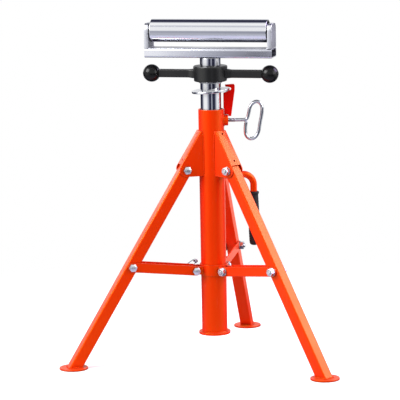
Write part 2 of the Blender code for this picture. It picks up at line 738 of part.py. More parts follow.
def make_struts(axes):
    """Channel with its web at the bottom, lying along x from the collar's bolt."""
    half = STRUT_HEIGHT / 2
    outline = arc((0, 0), half, 270, 90, 7) + arc((STRUT_LENGTH, 0), half, 90, -90, 7)
    solid = plate([outline], CHANNEL_OUTER)

    def is_fold(a, b):
        low = all(abs(p.z + half) < 0.00002 for p in (a, b))
        return low and abs(a.y - b.y) < 0.00001 and abs(a.x - b.x) > STRUT_LENGTH / 3

    solid = round_folds(solid, is_fold, FOLD_RADIUS)
    far = STRUT_LENGTH + 2 * half
    web_start = STRUT_WEB_START
    web_end = STRUT_LENGTH - STRUT_WEB_CUT_BACK
    floor = -half + SHEET
    inside = [
        (-2 * half, 2 * half), (-2 * half, -2 * half), (web_start, -2 * half), (web_start, floor),
        (web_end, floor), (web_end, -2 * half), (far, -2 * half), (far, 2 * half)]
    room = plate([inside], CHANNEL_INNER)
    collar_hole = bore(BOLT_HOLE_R, 0, 0, CHANNEL_OUTER)
    leg_hole = bore(BOLT_HOLE_R, STRUT_LENGTH, 0, CHANNEL_OUTER)
    mesh = cut(solid, room, collar_hole, leg_hole)
    place = (COLLAR_PIVOT_X, 0, COLLAR_PIVOT_Z)
    tilt = (0, -STRUT_RISE, 0)
    head, stud = strut_bolt_ends()
    add_copies("strut", mesh, ORANGE, axes, place, tilt)
    add_copies("strut_bolt_head", head, ZINC, axes, place, tilt)
    add_copies("strut_bolt_nut", stud, ZINC, axes, place, tilt)


def strut_bolt_ends():
    """Head end and nut end of a strut bolt, which stop at the flanges' inner faces."""
    face = CHANNEL_OUTER / 2 + GAP
    inner = CHANNEL_INNER / 2
    end = face + WASHER_THICKNESS + NUT_THICKNESS + THREAD_SHOW
    shank = cylinder(BOLT_R, (0, inner, 0), (0, face + 2 * MM, 0), SMALL_SEGMENTS)
    head = join(hex_prism(face, HEX_THICKNESS), shank)
    thread = cylinder(BOLT_R, (0, -inner, 0), (0, -end, 0), SMALL_SEGMENTS, chamfer=TIP_CHAMFER)
    stud = join(washer_and_nut(), thread)
    outward = Matrix.Translation((STRUT_LENGTH, 0, 0))
    return moved(head, outward), moved(stud, outward)


# Post and jack

def make_post():
    top = HUB_BOTTOM_Z - WASHER_STEP - 2 * GAP
    add_part("inner_post", ring(POST_R, POST_R - POST_WALL, POST_BOTTOM_Z, top, 0.5 * MM), CHROME)
    thrust = ring(POST_R + 3.5 * MM, SCREW_R + 0.6 * MM, top + GAP, HUB_BOTTOM_Z - GAP)
    add_part("thrust_washer", thrust, STEEL)


def make_jack_nut():
    profile = [
        (SCREW_R + 0.5 * MM, HUB_TOP_Z), (HUB_R - 1.6 * MM, HUB_TOP_Z), (HUB_R, HUB_TOP_Z - 1.6 * MM),
        (HUB_BOTTOM_R, HUB_BOTTOM_Z + 1.6 * MM), (HUB_BOTTOM_R - 1.6 * MM, HUB_BOTTOM_Z),
        (SCREW_R + 0.5 * MM, HUB_BOTTOM_Z)]
    hub = turned(profile)
    arms = []
    inner = HUB_R - 6 * MM
    outer = BALL_X - BALL_R + 1.2 * MM
    for sign in (-1, 1):
        centre = (sign * (inner + outer) / 2, 0, ARM_Z)
        arms.append(box((outer - inner, ARM_DEPTH, ARM_HEIGHT), centre, ARM_BEVEL, 0, 3))
    mesh = join(hub, *arms)
    stems = [cylinder(5 * MM, (sign * (outer - 2 * MM), 0, ARM_Z), (sign * (outer + 12 * MM), 0, ARM_Z), 24)
             for sign in (-1, 1)]
    mesh = join(mesh, *stems)
    balls = {sign: ball(sign, outer) for sign in (-1, 1)}
    add_part("jack_nut", mesh, BLACK_CAST)
    add_part("ball_knob_left", balls[-1], BLACK_BALL)
    add_part("ball_knob_right", balls[1], BLACK_BALL)


def ball(sign, arm_end):
    """Ball knob with a flat face to the arm and a blind hole for the arm's stem."""
    bm = bmesh.new()
    bmesh.ops.create_uvsphere(bm, u_segments=20, v_segments=10, radius=BALL_R)
    bm.transform(Matrix.Translation((sign * BALL_X, 0, ARM_Z)) @ Matrix.Rotation(math.radians(90), 4, "Y"))
    sphere = finish(bm)
    face = arm_end + GAP
    flat = box((60 * MM, 60 * MM, 60 * MM), (sign * (face - 30 * MM), 0, ARM_Z))
    bottom = arm_end + 12.4 * MM
    hole = cylinder(5 * MM + GAP, (sign * (face - 5 * MM), 0, ARM_Z), (sign * bottom, 0, ARM_Z))
    return cut(sphere, flat, hole)


def make_jack_screw():
    """Round rod as thick as its thread, with its top just under the socket."""
    top = HUB_TOP_Z + 0.2 * MM
    screw = cylinder(SCREW_R, (0, 0, top - SCREW_LENGTH), (0, 0, top), chamfer=SCREW_CHAMFER)
    add_part("jack_screw", screw, STEEL)
    floor_bottom = top + GAP
    floor_top = floor_bottom + SOCKET_FLOOR
    socket = [
        (0, floor_top), (SOCKET_BORE_R, floor_top), (SOCKET_BORE_R, SOCKET_TOP_Z),
        (POST_R - 0.6 * MM, SOCKET_TOP_Z), (POST_R, SOCKET_TOP_Z - 0.6 * MM),
        (POST_R, floor_bottom + 0.6 * MM), (POST_R - 0.6 * MM, floor_bottom), (0, floor_bottom)]
    add_part("head_socket", turned(socket), CHROME)
    return floor_top


# Roller head

def make_head(shank_bottom):
    middle = BASE_BOTTOM_Z + BASE_HEIGHT / 2
    outer = box((BASE_LENGTH, BASE_DEPTH, BASE_HEIGHT), (0, 0, middle), BASE_CORNER, 0, 5)
    inner = box(
        (BASE_LENGTH * 1.2, BASE_DEPTH - 2 * BASE_WALL, BASE_HEIGHT - 2 * BASE_WALL), (0, 0, middle),
        BASE_CORNER - BASE_WALL, 0, 3)
    add_part("head_base", cut(outer, inner), CHROME)
    shank = cylinder(SOCKET_BORE_R - 0.5 * MM, (0, 0, shank_bottom + GAP), (0, 0, BASE_BOTTOM_Z - GAP))
    add_part("head_shank", shank, CHROME)
    for sign, side in ((-1, "left"), (1, "right")):
        add_part("roller_bracket_" + side, end_plate(sign), CHROME)
    half = BASE_LENGTH / 2
    axle = cylinder(AXLE_R, (-half + 1 * MM, 0, 0), (half - 1 * MM, 0, 0), 24)
    add_part("roller_axle", axle, STEEL, None, (0, 0, ROLLER_Z))


def end_plate(sign):
    bottom = BASE_TOP_Z + GAP
    half = BASE_DEPTH / 2
    centre_z = PLATE_TOP_Z - PLATE_CORNER
    outline = [(-half, bottom), (half, bottom)]
    outline += arc((half - PLATE_CORNER, centre_z), PLATE_CORNER, 0, 90, 7)
    outline += arc((-half + PLATE_CORNER, centre_z), PLATE_CORNER, 90, 180, 7)
    hole = circle((0, ROLLER_Z), AXLE_R + GAP, SEGMENTS)
    mesh = plate([outline, hole], PLATE_THICKNESS)
    mesh.transform(Matrix.Rotation(math.radians(90), 4, "Z"))
    mesh.transform(Matrix.Translation((sign * (BASE_LENGTH / 2 - PLATE_THICKNESS / 2), 0, 0)))
    return mesh


def make_roller():
    half = BASE_LENGTH / 2 - PLATE_THICKNESS - ROLLER_END_GAP
    tube = ring(ROLLER_R, ROLLER_R - ROLLER_WALL, -half, half, 0.8 * MM, ROLLER_SEGMENTS)
    tube.transform(Matrix.Rotation(math.pi / ROLLER_SEGMENTS, 4, "Z"))
    tube.transform(Matrix.Rotation(math.radians(90), 4, "Y"))
    add_part("roller_tube", tube, CHROME, None, (0, 0, ROLLER_Z))
    for sign, side in ((-1, "left"), (1, "right")):
        outer = sign * (half - 1.5 * MM)
        cap = cylinder(ROLLER_R - ROLLER_WALL - GAP, (outer, 0, 0), (outer - sign * 12 * MM, 0, 0))
        cap = cut(cap, cylinder(AXLE_R + 0.5 * MM, (-0.2, 0, 0), (0.2, 0, 0)))
        add_part("roller_end_cap_" + side, cap, STEEL, None, (0, 0, ROLLER_Z))


# Lock ring and clamp screw

def make_lock_ring(axis):
    """Flat ring that hangs tilted from the hook, its origin on the hook's notch."""
    mesh = ring(RING_OUTER_R, RING_INNER_R, -RING_THICKNESS / 2, RING_THICKNESS / 2, 0.7 * MM)
    mesh.transform(Matrix.Translation((-RING_HINGE_X, 0, 0)))
    add_part("lock_ring", mesh, CHROME, axis, (RING_HINGE_X, 0, RING_HINGE_Z), (0, -RING_TILT, 0))


def make_clamp(axis):
    tip_start = POST_R + 0.6 * MM
    tip_end = tip_start + 5 * MM
    tip = cylinder(CLAMP_TIP_R, (tip_start, 0, 0), (tip_end, 0, 0), 24)
    add_part("clamp_tip", tip, STEEL, axis, (0, 0, CLAMP_Z))
    points = [(x * MM, 0, z * MM) for x, z in LOOP_POINTS]
    neck = [(CLAMP_THREAD_END_X - 6 * MM, 0, 0), (CLAMP_THREAD_END_X + 12 * MM, 0, 0)]
    handle = rod(neck + smooth_path(points, 2), CLAMP_ROD_R, 2)
    ends = (tip_end + GAP, 0, 0), (CLAMP_THREAD_END_X, 0, 0)
    thread = cylinder(CLAMP_THREAD_R, *ends, SMALL_SEGMENTS, chamfer=TIP_CHAMFER)
    add_part("clamp_screw", join(handle, thread), CHROME, axis, (0, 0, CLAMP_Z))


def build():
    axes = {side: add_axis("leg_axis_" + side, azimuth) for side, azimuth in LEG_AZIMUTHS.items()}
    lock_axis = add_axis("lock_axis", LOCK_AZIMUTH)
    clamp_axis = add_axis("clamp_axis", CLAMP_AZIMUTH)
    handle_axis = add_axis("handle_axis", HANDLE_AZIMUTH)
    make_column()
    make_brackets(axes)
    make_pivot_fasteners(axes)
    make_clamp_boss(clamp_axis)
    make_hook(clamp_axis)
    make_handle(handle_axis)
    make_legs(axes)
    make_struts(axes)
    make_collar(axes, lock_axis)
    make_post()
    make_jack_nut()
    shank_bottom = make_jack_screw()
    make_head(shank_bottom)
    make_roller()
    make_lock_ring(clamp_axis)
    make_clamp(clamp_axis)


clear_scene()
PARTS = new_collection("roller_stand")
CUTTERS = new_collection("cutters", hidden=True)
STAND = add_stand()
build()
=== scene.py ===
"""Studio view of a folding roller stand: orange coated tripod, chrome post and roller head.

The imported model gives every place. The smooth pieces here are surfaces worked out with numpy,
written in one of three frames: the column's own (its axis is the Z axis), an arm's (x runs
outward from the column at an azimuth) or a bolt's (its axis is the Z axis). Lengths are metres.
"""

import json
import math

import bmesh
import bpy
import numpy as np
from mathutils import Matrix, Vector


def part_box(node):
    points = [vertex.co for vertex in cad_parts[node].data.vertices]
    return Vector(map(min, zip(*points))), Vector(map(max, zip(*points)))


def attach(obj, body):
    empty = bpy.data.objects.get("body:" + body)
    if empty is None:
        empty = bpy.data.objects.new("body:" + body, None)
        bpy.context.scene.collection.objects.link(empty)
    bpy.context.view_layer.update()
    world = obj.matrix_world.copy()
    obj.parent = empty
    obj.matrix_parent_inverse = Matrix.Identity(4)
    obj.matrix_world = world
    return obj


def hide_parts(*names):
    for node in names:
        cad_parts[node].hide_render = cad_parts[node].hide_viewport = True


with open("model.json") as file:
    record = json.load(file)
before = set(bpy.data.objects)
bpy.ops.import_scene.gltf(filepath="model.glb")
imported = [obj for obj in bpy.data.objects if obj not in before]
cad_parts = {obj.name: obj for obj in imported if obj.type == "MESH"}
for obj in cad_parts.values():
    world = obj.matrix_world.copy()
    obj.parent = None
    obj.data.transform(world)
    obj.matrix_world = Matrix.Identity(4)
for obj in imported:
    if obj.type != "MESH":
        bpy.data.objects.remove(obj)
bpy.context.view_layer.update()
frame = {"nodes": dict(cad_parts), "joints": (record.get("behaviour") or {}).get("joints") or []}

MM = 0.001
SIDES = {"left": 210.0, "right": 330.0, "rear": 90.0}
TURN_STEPS = 96
FILLET_STEPS = 5


def span(node, axis):
    """The lowest and highest value of a node's box along an axis."""
    low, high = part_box(node)
    return low[axis], high[axis]


COLUMN_Y = sum(span("column_tube", 1)) / 2
COLUMN_R = (span("column_tube", 1)[1] - span("column_tube", 1)[0]) / 2
COLUMN_LOW, COLUMN_HIGH = span("column_tube", 2)
POST_R = (span("inner_post", 1)[1] - span("inner_post", 1)[0]) / 2
POST_LOW, POST_HIGH = span("inner_post", 2)
HUB_LOW, HUB_HIGH = span("jack_nut", 2)
HUB_R = (span("jack_nut", 1)[1] - span("jack_nut", 1)[0]) / 2
BASE_LOW, BASE_HIGH = span("head_base", 2)
BASE_HALF = span("head_base", 0)[1]
JOINTS = {joint["name"]: joint for joint in frame["joints"]}
PIVOT_Z = JOINTS["leg_rear_fold"]["pos_m"][2]
PIVOT_R = JOINTS["leg_rear_fold"]["pos_m"][1] - COLUMN_Y
COLLAR_Z = JOINTS["strut_rear_swing"]["pos_m"][2]
COLLAR_BOLT_R = JOINTS["strut_rear_swing"]["pos_m"][1] - COLUMN_Y
FOOT_R = sum(span("foot_disc_rear", 1)) / 2 - COLUMN_Y
ROLLER_Z = JOINTS["roller_spin"]["pos_m"][2]
CLAMP_Z = JOINTS["clamp_screw_turn"]["pos_m"][2]
CLAMP_AZIMUTH = 15.0
HANDLE_AZIMUTH = 30.0
LOCK_AZIMUTH = 150.0
LEAN = math.atan2(FOOT_R - PIVOT_R, PIVOT_Z)


# Node groups that several finishes share

class Wiring:
    """Adds nodes to a tree and joins them, so that a finish reads as a list of steps."""

    def __init__(self, tree):
        self.tree = tree

    def add(self, kind, **settings):
        node = self.tree.nodes.new(kind)
        for name, value in settings.items():
            setattr(node, name, value)
        return node

    def join(self, source, target):
        self.tree.links.new(source, target)

    def maths(self, operation, first, second=0.0, clamp=False):
        node = self.add("ShaderNodeMath", operation=operation, use_clamp=clamp)
        for socket, value in zip(node.inputs, (first, second)):
            if isinstance(value, bpy.types.NodeSocket):
                self.join(value, socket)
            else:
                socket.default_value = value
        return node.outputs[0]

    def noise(self, place, scale, detail=2.0):
        node = self.add("ShaderNodeTexNoise")
        node.inputs["Scale"].default_value = scale
        node.inputs["Detail"].default_value = detail
        self.join(place, node.inputs["Vector"])
        return node.outputs["Fac"]

    def spread(self, value, low, high, to_low=0.0, to_high=1.0):
        node = self.add("ShaderNodeMapRange")
        self.join(value, node.inputs["Value"])
        node.inputs["From Min"].default_value = low
        node.inputs["From Max"].default_value = high
        node.inputs["To Min"].default_value = to_low
        node.inputs["To Max"].default_value = to_high
        return node.outputs["Result"]

    def blend(self, amount, first, second):
        node = self.add("ShaderNodeMix", data_type="RGBA")
        self.join(amount, node.inputs["Factor"])
        for socket, value in ((node.inputs["A"], first), (node.inputs["B"], second)):
            if isinstance(value, bpy.types.NodeSocket):
                self.join(value, socket)
            else:
                socket.default_value = (*value, 1.0)
        return node.outputs["Result"]


def new_group(name, inputs, outputs):
    """A shader node group with named sockets; gives its wiring and its two end nodes."""
    group = bpy.data.node_groups.new(name, "ShaderNodeTree")
    for label, kind, value in inputs:
        socket = group.interface.new_socket(label, in_out="INPUT", socket_type=kind)
        if value is not None:
            socket.default_value = value
    for label, kind in outputs:
        group.interface.new_socket(label, in_out="OUTPUT", socket_type=kind)
    wiring = Wiring(group)
    return group, wiring, wiring.add("NodeGroupInput"), wiring.add("NodeGroupOutput")


def make_mottle_group():
    """Slow change of colour: one colour and its darker neighbour mixed by a soft cloud."""
    group, wiring, inlet, outlet = new_group(
        "slow_mottle",
        [("Place", "NodeSocketVector", None), ("Scale", "NodeSocketFloat", 14.0),
         ("Light colour", "NodeSocketColor", (1, 1, 1, 1)), ("Deep colour", "NodeSocketColor", (0, 0, 0, 1))],
        [("Color", "NodeSocketColor"), ("Cloud", "NodeSocketFloat")])
    cloud = wiring.add("ShaderNodeTexNoise")
    cloud.inputs["Detail"].default_value = 4.0
    wiring.join(inlet.outputs["Place"], cloud.inputs["Vector"])
    wiring.join(inlet.outputs["Scale"], cloud.inputs["Scale"])
    amount = wiring.spread(cloud.outputs["Fac"], 0.3, 0.7)
    colour = wiring.blend(amount, inlet.outputs["Light colour"], inlet.outputs["Deep colour"])
    wiring.join(colour, outlet.inputs["Color"])
    wiring.join(amount, outlet.inputs["Cloud"])
    return group


def make_grain_group():
    """Fine surface relief: two sizes of noise added as height, put out as a normal."""
    group, wiring, inlet, outlet = new_group(
        "fine_relief",
        [("Place", "NodeSocketVector", None), ("Scale", "NodeSocketFloat", 900.0),
         ("Strength", "NodeSocketFloat", 0.1), ("Depth", "NodeSocketFloat", 0.0002)],
        [("Normal", "NodeSocketVector"), ("Height", "NodeSocketFloat")])
    coarse = wiring.add("ShaderNodeTexNoise")
    fine = wiring.add("ShaderNodeTexNoise")
    fine_scale = wiring.maths("MULTIPLY", inlet.outputs["Scale"], 3.1)
    for node, scale in ((coarse, inlet.outputs["Scale"]), (fine, fine_scale)):
        wiring.join(inlet.outputs["Place"], node.inputs["Vector"])
        wiring.join(scale, node.inputs["Scale"])
    small = wiring.maths("MULTIPLY", fine.outputs["Fac"], 0.4)
    height = wiring.maths("ADD", coarse.outputs["Fac"], small)
    bump = wiring.add("ShaderNodeBump")
    wiring.join(inlet.outputs["Strength"], bump.inputs["Strength"])
    wiring.join(inlet.outputs["Depth"], bump.inputs["Distance"])
    wiring.join(height, bump.inputs["Height"])
    wiring.join(bump.outputs["Normal"], outlet.inputs["Normal"])
    wiring.join(height, outlet.inputs["Height"])
    return group


def make_scuff_group():
    """Rub marks: a cloud picks where they are and stretched noise draws their thin lines."""
    group, wiring, inlet, outlet = new_group(
        "rub_marks",
        [("Place", "NodeSocketVector", None), ("Amount", "NodeSocketFloat", 0.3)],
        [("Mask", "NodeSocketFloat")])
    stretch = wiring.add("ShaderNodeMapping")
    stretch.inputs["Scale"].default_value = (260.0, 900.0, 60.0)
    stretch.inputs["Rotation"].default_value = (0.4, 0.3, 0.7)
    wiring.join(inlet.outputs["Place"], stretch.inputs["Vector"])
    lines = wiring.noise(stretch.outputs["Vector"], 1.0, 1.0)
    thin = wiring.spread(lines, 0.66, 0.74)
    where = wiring.spread(wiring.noise(inlet.outputs["Place"], 22.0, 2.0), 0.52, 0.7)
    both = wiring.maths("MULTIPLY", thin, where)
    mask = wiring.maths("MULTIPLY", both, inlet.outputs["Amount"], clamp=True)
    wiring.join(mask, outlet.inputs["Mask"])
    return group


def make_rim_and_shade_group():
    """Rims and painted shade: how far a rounded normal leans off the real one, and how closed in a spot is, as a
    mask for painted shade.
    """
    group, wiring, inlet, outlet = new_group(
        "rims_and_painted_shade",
        [("Place", "NodeSocketVector", None), ("Radius", "NodeSocketFloat", 0.0012)],
        [("Rim", "NodeSocketFloat"), ("Seam", "NodeSocketFloat")])
    soft = wiring.add("ShaderNodeBevel", samples=6)
    wiring.join(inlet.outputs["Radius"], soft.inputs["Radius"])
    real = wiring.add("ShaderNodeNewGeometry")
    lean = wiring.add("ShaderNodeVectorMath", operation="DOT_PRODUCT")
    wiring.join(soft.outputs["Normal"], lean.inputs[0])
    wiring.join(real.outputs["Normal"], lean.inputs[1])
    rim = wiring.spread(lean.outputs["Value"], 0.995, 0.90)
    breaks = wiring.spread(wiring.noise(inlet.outputs["Place"], 90.0, 3.0), 0.25, 0.6)
    wiring.join(wiring.maths("MULTIPLY", rim, breaks), outlet.inputs["Rim"])
    # Painted shade: ambient occlusion within 22 mm makes the mask that darkens closed-in spots such as seams and
    # corners.
    closed_in = wiring.add("ShaderNodeAmbientOcclusion", samples=8)
    closed_in.inputs["Distance"].default_value = 0.022
    wiring.join(wiring.spread(closed_in.outputs["AO"], 0.80, 0.26), outlet.inputs["Seam"])
    return group


MOTTLE = make_mottle_group()
GRAIN = make_grain_group()
SCUFF = make_scuff_group()
RIMS_AND_SHADE = make_rim_and_shade_group()


class Finish:
    """A material under construction: Object coordinates go in, the shared groups shape them."""

    def __init__(self, name):
        self.material = bpy.data.materials.new(name)
        self.material.use_nodes = True
        self.wiring = Wiring(self.material.node_tree)
        self.shader = self.material.node_tree.nodes["Principled BSDF"]
        self.place = self.wiring.add("ShaderNodeTexCoord").outputs["Object"]

    def group(self, tree, **values):
        node = self.wiring.add("ShaderNodeGroup", node_tree=tree)
        self.wiring.join(self.place, node.inputs["Place"])
        for label, value in values.items():
            node.inputs[label.replace("_", " ")].default_value = value
        return node

    def feed(self, label, source):
        self.wiring.join(source, self.shader.inputs[label])

    def set(self, **values):
        for label, value in values.items():
            self.shader.inputs[label.replace("_", " ")].default_value = value


def rgba(red, green, blue):
    return red, green, blue, 1.0


def coated_paint(name, light, deep, painted_sheen, roughness, grain_strength, tint):
    """Powder coat: slow mottle and pale rubs in the colour, lighter worn rims with a painted highlight, a painted
    sheen where seen at a low angle and painted shade in closed-in spots.
    """
    finish = Finish(name)
    mottle = finish.group(MOTTLE, Scale=11.0, Light_colour=rgba(*light), Deep_colour=rgba(*deep))
    rubs = finish.group(SCUFF, Amount=0.35)
    worn = tuple(min(1.0, 0.6 * c + 0.16) for c in light)
    colour = finish.wiring.blend(rubs.outputs["Mask"], mottle.outputs["Color"], worn)
    # Lighter rims: edge wear, and a painted highlight where the edges catch the light.
    edges = finish.group(RIMS_AND_SHADE, Radius=0.0012)
    rim = tuple(min(1.0, c + 0.10) for c in light)
    colour = finish.wiring.blend(finish.wiring.maths("MULTIPLY", edges.outputs["Rim"], 0.6), colour, rim)
    # Painted sheen: the colour turns pale where the surface is seen at a low angle.
    glancing = finish.wiring.add("ShaderNodeLayerWeight").outputs["Facing"]
    colour = finish.wiring.blend(finish.wiring.spread(glancing, 0.62, 0.97, 0.0, 0.42), colour, painted_sheen)
    # Painted shade: the colour darkens towards near black in closed-in spots such as seams, corners and round bolts.
    shade = tuple(0.16 * c for c in deep)
    colour = finish.wiring.blend(finish.wiring.maths("MULTIPLY", edges.outputs["Seam"], 0.9), colour, shade)
    finish.feed("Base Color", colour)
    finish.feed("Roughness", finish.wiring.spread(mottle.outputs["Cloud"], 0.0, 1.0, roughness, roughness + 0.07))
    peel = finish.group(GRAIN, Scale=620.0, Strength=grain_strength, Depth=0.0003)
    finish.feed("Normal", peel.outputs["Normal"])
    finish.set(Specular_IOR_Level=0.85, Specular_Tint=rgba(1.0, tint[0], tint[1]))
    return finish.material


def bright_metal(name, light, deep, roughness, relief, scale):
    """Plated or turned steel: tint drifts slowly, painted shade in closed-in spots, roughness follows rubs, faint
    ripple.
    """
    finish = Finish(name)
    mottle = finish.group(MOTTLE, Scale=scale, Light_colour=rgba(*light), Deep_colour=rgba(*deep))
    edges = finish.group(RIMS_AND_SHADE, Radius=0.0008)
    # Painted shade: the colour darkens in closed-in spots such as seams and corners.
    shade = tuple(0.10 * c for c in deep)
    painted_shade = finish.wiring.maths("MULTIPLY", edges.outputs["Seam"], 0.8)
    finish.feed("Base Color", finish.wiring.blend(painted_shade, mottle.outputs["Color"], shade))
    rubs = finish.group(SCUFF, Amount=0.2)
    base = finish.wiring.spread(mottle.outputs["Cloud"], 0.0, 1.0, roughness, roughness * 1.5)
    finish.feed("Roughness", finish.wiring.maths("ADD", base, finish.wiring.maths("MULTIPLY", rubs.outputs["Mask"], 0.25)))
    ripple = finish.group(GRAIN, Scale=relief[0], Strength=relief[1], Depth=0.0002)
    finish.feed("Normal", ripple.outputs["Normal"])
    finish.set(Metallic=1.0)
    return finish.material


def dark_finish(name, light, deep, roughness, gloss, scale, strength, depth):
    """Black casting, plastic or rubber: near-black mottle with its own grain."""
    finish = Finish(name)
    mottle = finish.group(MOTTLE, Scale=30.0, Light_colour=rgba(*light), Deep_colour=rgba(*deep))
    rubs = finish.group(SCUFF, Amount=0.25)
    worn = tuple(c + 0.06 for c in light)
    edges = finish.group(RIMS_AND_SHADE, Radius=0.0012)
    marks = finish.wiring.maths("MAXIMUM", rubs.outputs["Mask"], edges.outputs["Rim"])
    marks = finish.wiring.maths("MULTIPLY", marks, 0.35)
    finish.feed("Base Color", finish.wiring.blend(marks, mottle.outputs["Color"], worn))
    finish.feed("Roughness", finish.wiring.spread(mottle.outputs["Cloud"], 0.0, 1.0, roughness, roughness + 0.1))
    grain = finish.group(GRAIN, Scale=scale, Strength=strength, Depth=depth)
    finish.feed("Normal", grain.outputs["Normal"])
    finish.set(Specular_IOR_Level=gloss)
    return finish.material


ORANGE = coated_paint(
    "orange_powder_coat", (0.97, 0.016, 0.0002), (0.91, 0.012, 0.0002), (1.0, 0.24, 0.06), 0.31, 0.07, (0.84, 0.06))
RED = coated_paint(
    "red_gloss_paint", (0.98, 0.003, 0.001), (0.92, 0.002, 0.001), (1.0, 0.05, 0.04), 0.26, 0.08, (0.1, 0.05))
CHROME = bright_metal("bright_chrome", (0.90, 0.91, 0.94), (0.82, 0.83, 0.88), 0.07, (160.0, 0.02), 9.0)
PLATED = bright_metal("dull_zinc_plate", (0.86, 0.87, 0.93), (0.66, 0.67, 0.76), 0.22, (420.0, 0.05), 16.0)
CHEEK = bright_metal("sawn_zinc_plate", (0.93, 0.94, 0.97), (0.74, 0.75, 0.82), 0.26, (500.0, 0.2), 24.0)
ZINC = bright_metal("zinc_plate", (0.86, 0.88, 0.91), (0.66, 0.69, 0.75), 0.24, (900.0, 0.15), 120.0)
ROD = bright_metal("bent_rod_chrome", (0.80, 0.81, 0.85), (0.40, 0.42, 0.48), 0.10, (300.0, 0.05), 60.0)
STEEL = bright_metal("turned_steel", (0.66, 0.67, 0.70), (0.50, 0.51, 0.55), 0.22, (700.0, 0.1), 60.0)
CAST = dark_finish("black_casting", (0.010, 0.010, 0.010), (0.006, 0.006, 0.006), 0.28, 0.5, 420.0, 0.2, 0.0003)
KNOB = dark_finish("black_knob", (0.007, 0.007, 0.007), (0.004, 0.004, 0.004), 0.16, 0.25, 300.0, 0.03, 0.0002)
RUBBER = dark_finish("black_rubber", (0.014, 0.014, 0.015), (0.008, 0.008, 0.009), 0.50, 0.35, 1500.0, 0.5, 0.0003)


# Surfaces: a shell is a pair of vertex and face arrays

def grid_shell(grid, wrap_rows=False, wrap_columns=True):
    """A grid of points (rows, columns, 3) as quads; each wrap joins the last line to the first."""
    rows, columns = grid.shape[:2]
    top = np.arange(rows if wrap_rows else rows - 1)[:, None]
    side = np.arange(columns if wrap_columns else columns - 1)[None, :]
    after = (top + 1) % rows
    beside = (side + 1) % columns
    corners = [after * columns + side, after * columns + beside, top * columns + beside, top * columns + side]
    faces = np.stack([np.broadcast_to(c, (top.size, side.size)) for c in corners], axis=-1)
    return grid.reshape(-1, 3), faces.reshape(-1, 4)


def angles(steps):
    return np.arange(steps) * (2 * np.pi / steps)


def turned(profile, steps=TURN_STEPS, closed=None):
    """Surface of revolution: (r cos a, r sin a, z) for each (r, z) of the profile and each angle a.

    A profile that starts on the axis ends on it too; any other one is a closed loop.
    """
    profile = np.asarray(profile, float)
    closed = profile[0, 0] > 0 if closed is None else closed
    turn = angles(steps)
    radius = profile[:, 0:1]
    grid = np.stack([
        radius * np.cos(turn), radius * np.sin(turn), np.broadcast_to(profile[:, 1:2], (len(profile), steps))],
        axis=-1)
    return grid_shell(grid, wrap_rows=closed)


def filleted(points, radii, steps=FILLET_STEPS):
    """A closed outline with its corners rounded.

    Each corner is the quadratic curve (1-t)^2 A + 2t(1-t) P + t^2 B, where P is the corner and
    A and B lie the corner's radius back along its two edges. One more point past A and past B
    keeps the straight runs straight in the shading. A radius of 0 keeps the corner.
    """
    points = np.asarray(points, float)
    radii = np.broadcast_to(np.asarray(radii, float), (len(points),))
    before = np.roll(points, 1, axis=0) - points
    after = np.roll(points, -1, axis=0) - points
    before_length = np.linalg.norm(before, axis=1, keepdims=True)
    after_length = np.linalg.norm(after, axis=1, keepdims=True)
    reach = np.minimum(radii[:, None], 0.48 * np.minimum(before_length, after_length))
    start = points + before / before_length * reach
    end = points + after / after_length * reach
    t = np.linspace(0, 1, steps + 1)[None, :, None]
    curve = (1 - t) ** 2 * start[:, None] + 2 * t * (1 - t) * points[:, None] + t ** 2 * end[:, None]
    ahead = points + before / before_length * np.minimum(1.4 * reach, 0.49 * before_length)
    behind = points + after / after_length * np.minimum(1.4 * reach, 0.49 * after_length)
    curve = np.concatenate([ahead[:, None], curve, behind[:, None]], axis=1)
    keep = [curve[i] if radii[i] > 0 else points[i:i + 1] for i in range(len(points))]
    return np.concatenate(keep)


def lathe(points, radii, steps=TURN_STEPS):
    """A closed (r, z) loop with filleted corners, turned about the Z axis."""
    return turned(filleted(points, radii), steps)


def tube_profile(outer, inner, low, high, edge):
    """The (r, z) loop of a tube's wall, its outer rims rounded by the edge."""
    points = [(inner, high), (outer, high), (outer, low), (inner, low)]
    return lathe(points, [edge * 0.6, edge, edge, edge * 0.6])


def carried(section, path, sideways):
    """A closed section carried along a path.

    Each point is path + u * normal + v * sideways for the section's (u, v); sideways is one
    fixed direction or one for each path point, and normal is sideways x tangent.
    """
    path = np.asarray(path, float)
    tangent = np.gradient(path, axis=0)
    tangent /= np.linalg.norm(tangent, axis=1, keepdims=True)
    sideways = np.broadcast_to(np.asarray(sideways, float), path.shape)
    normal = np.cross(sideways, tangent)
    normal /= np.linalg.norm(normal, axis=1, keepdims=True)
    binormal = np.cross(tangent, normal)
    section = np.asarray(section, float)
    if section.ndim == 2:
        section = np.broadcast_to(section, (len(path), *section.shape))
    return path[:, None] + section[..., 0:1] * normal[:, None] + section[..., 1:2] * binormal[:, None]


def circle(radius, steps=20):
    turn = angles(steps)
    return np.stack([radius * np.cos(turn), radius * np.sin(turn)], axis=-1)


def round_ended(path, radius, sideways, steps=20):
    """A round rod along a path whose ends close in a quarter circle of three rings."""
    path = np.asarray(path, float)
    bend = np.linspace(np.pi / 2, 0, 4)[:-1]
    first = path[0] - path[1]
    first /= np.linalg.norm(first)
    last = path[-1] - path[-2]
    last /= np.linalg.norm(last)
    shape = np.sin(bend)[:, None] * radius * 0.6
    start = path[0] + first * shape
    end = path[-1] + last * shape[::-1]
    whole = np.concatenate([start, path, end])
    scale = np.concatenate([np.cos(bend), np.ones(len(path)), np.cos(bend)[::-1]])
    scale[[0, -1]] = 0.0
    sections = circle(1.0, steps)[None] * (radius * scale)[:, None, None]
    inner = carried(circle(1.0, steps) * 0, whole[3:-3], sideways)
    directions = carried(circle(1.0, steps), whole[3:-3], sideways) - inner
    directions = np.concatenate([directions[:1]] * 3 + [directions] + [directions[-1:]] * 3)
    del sections
    grid = whole[:, None] + directions * (radius * scale)[:, None, None]
    return grid_shell(grid)


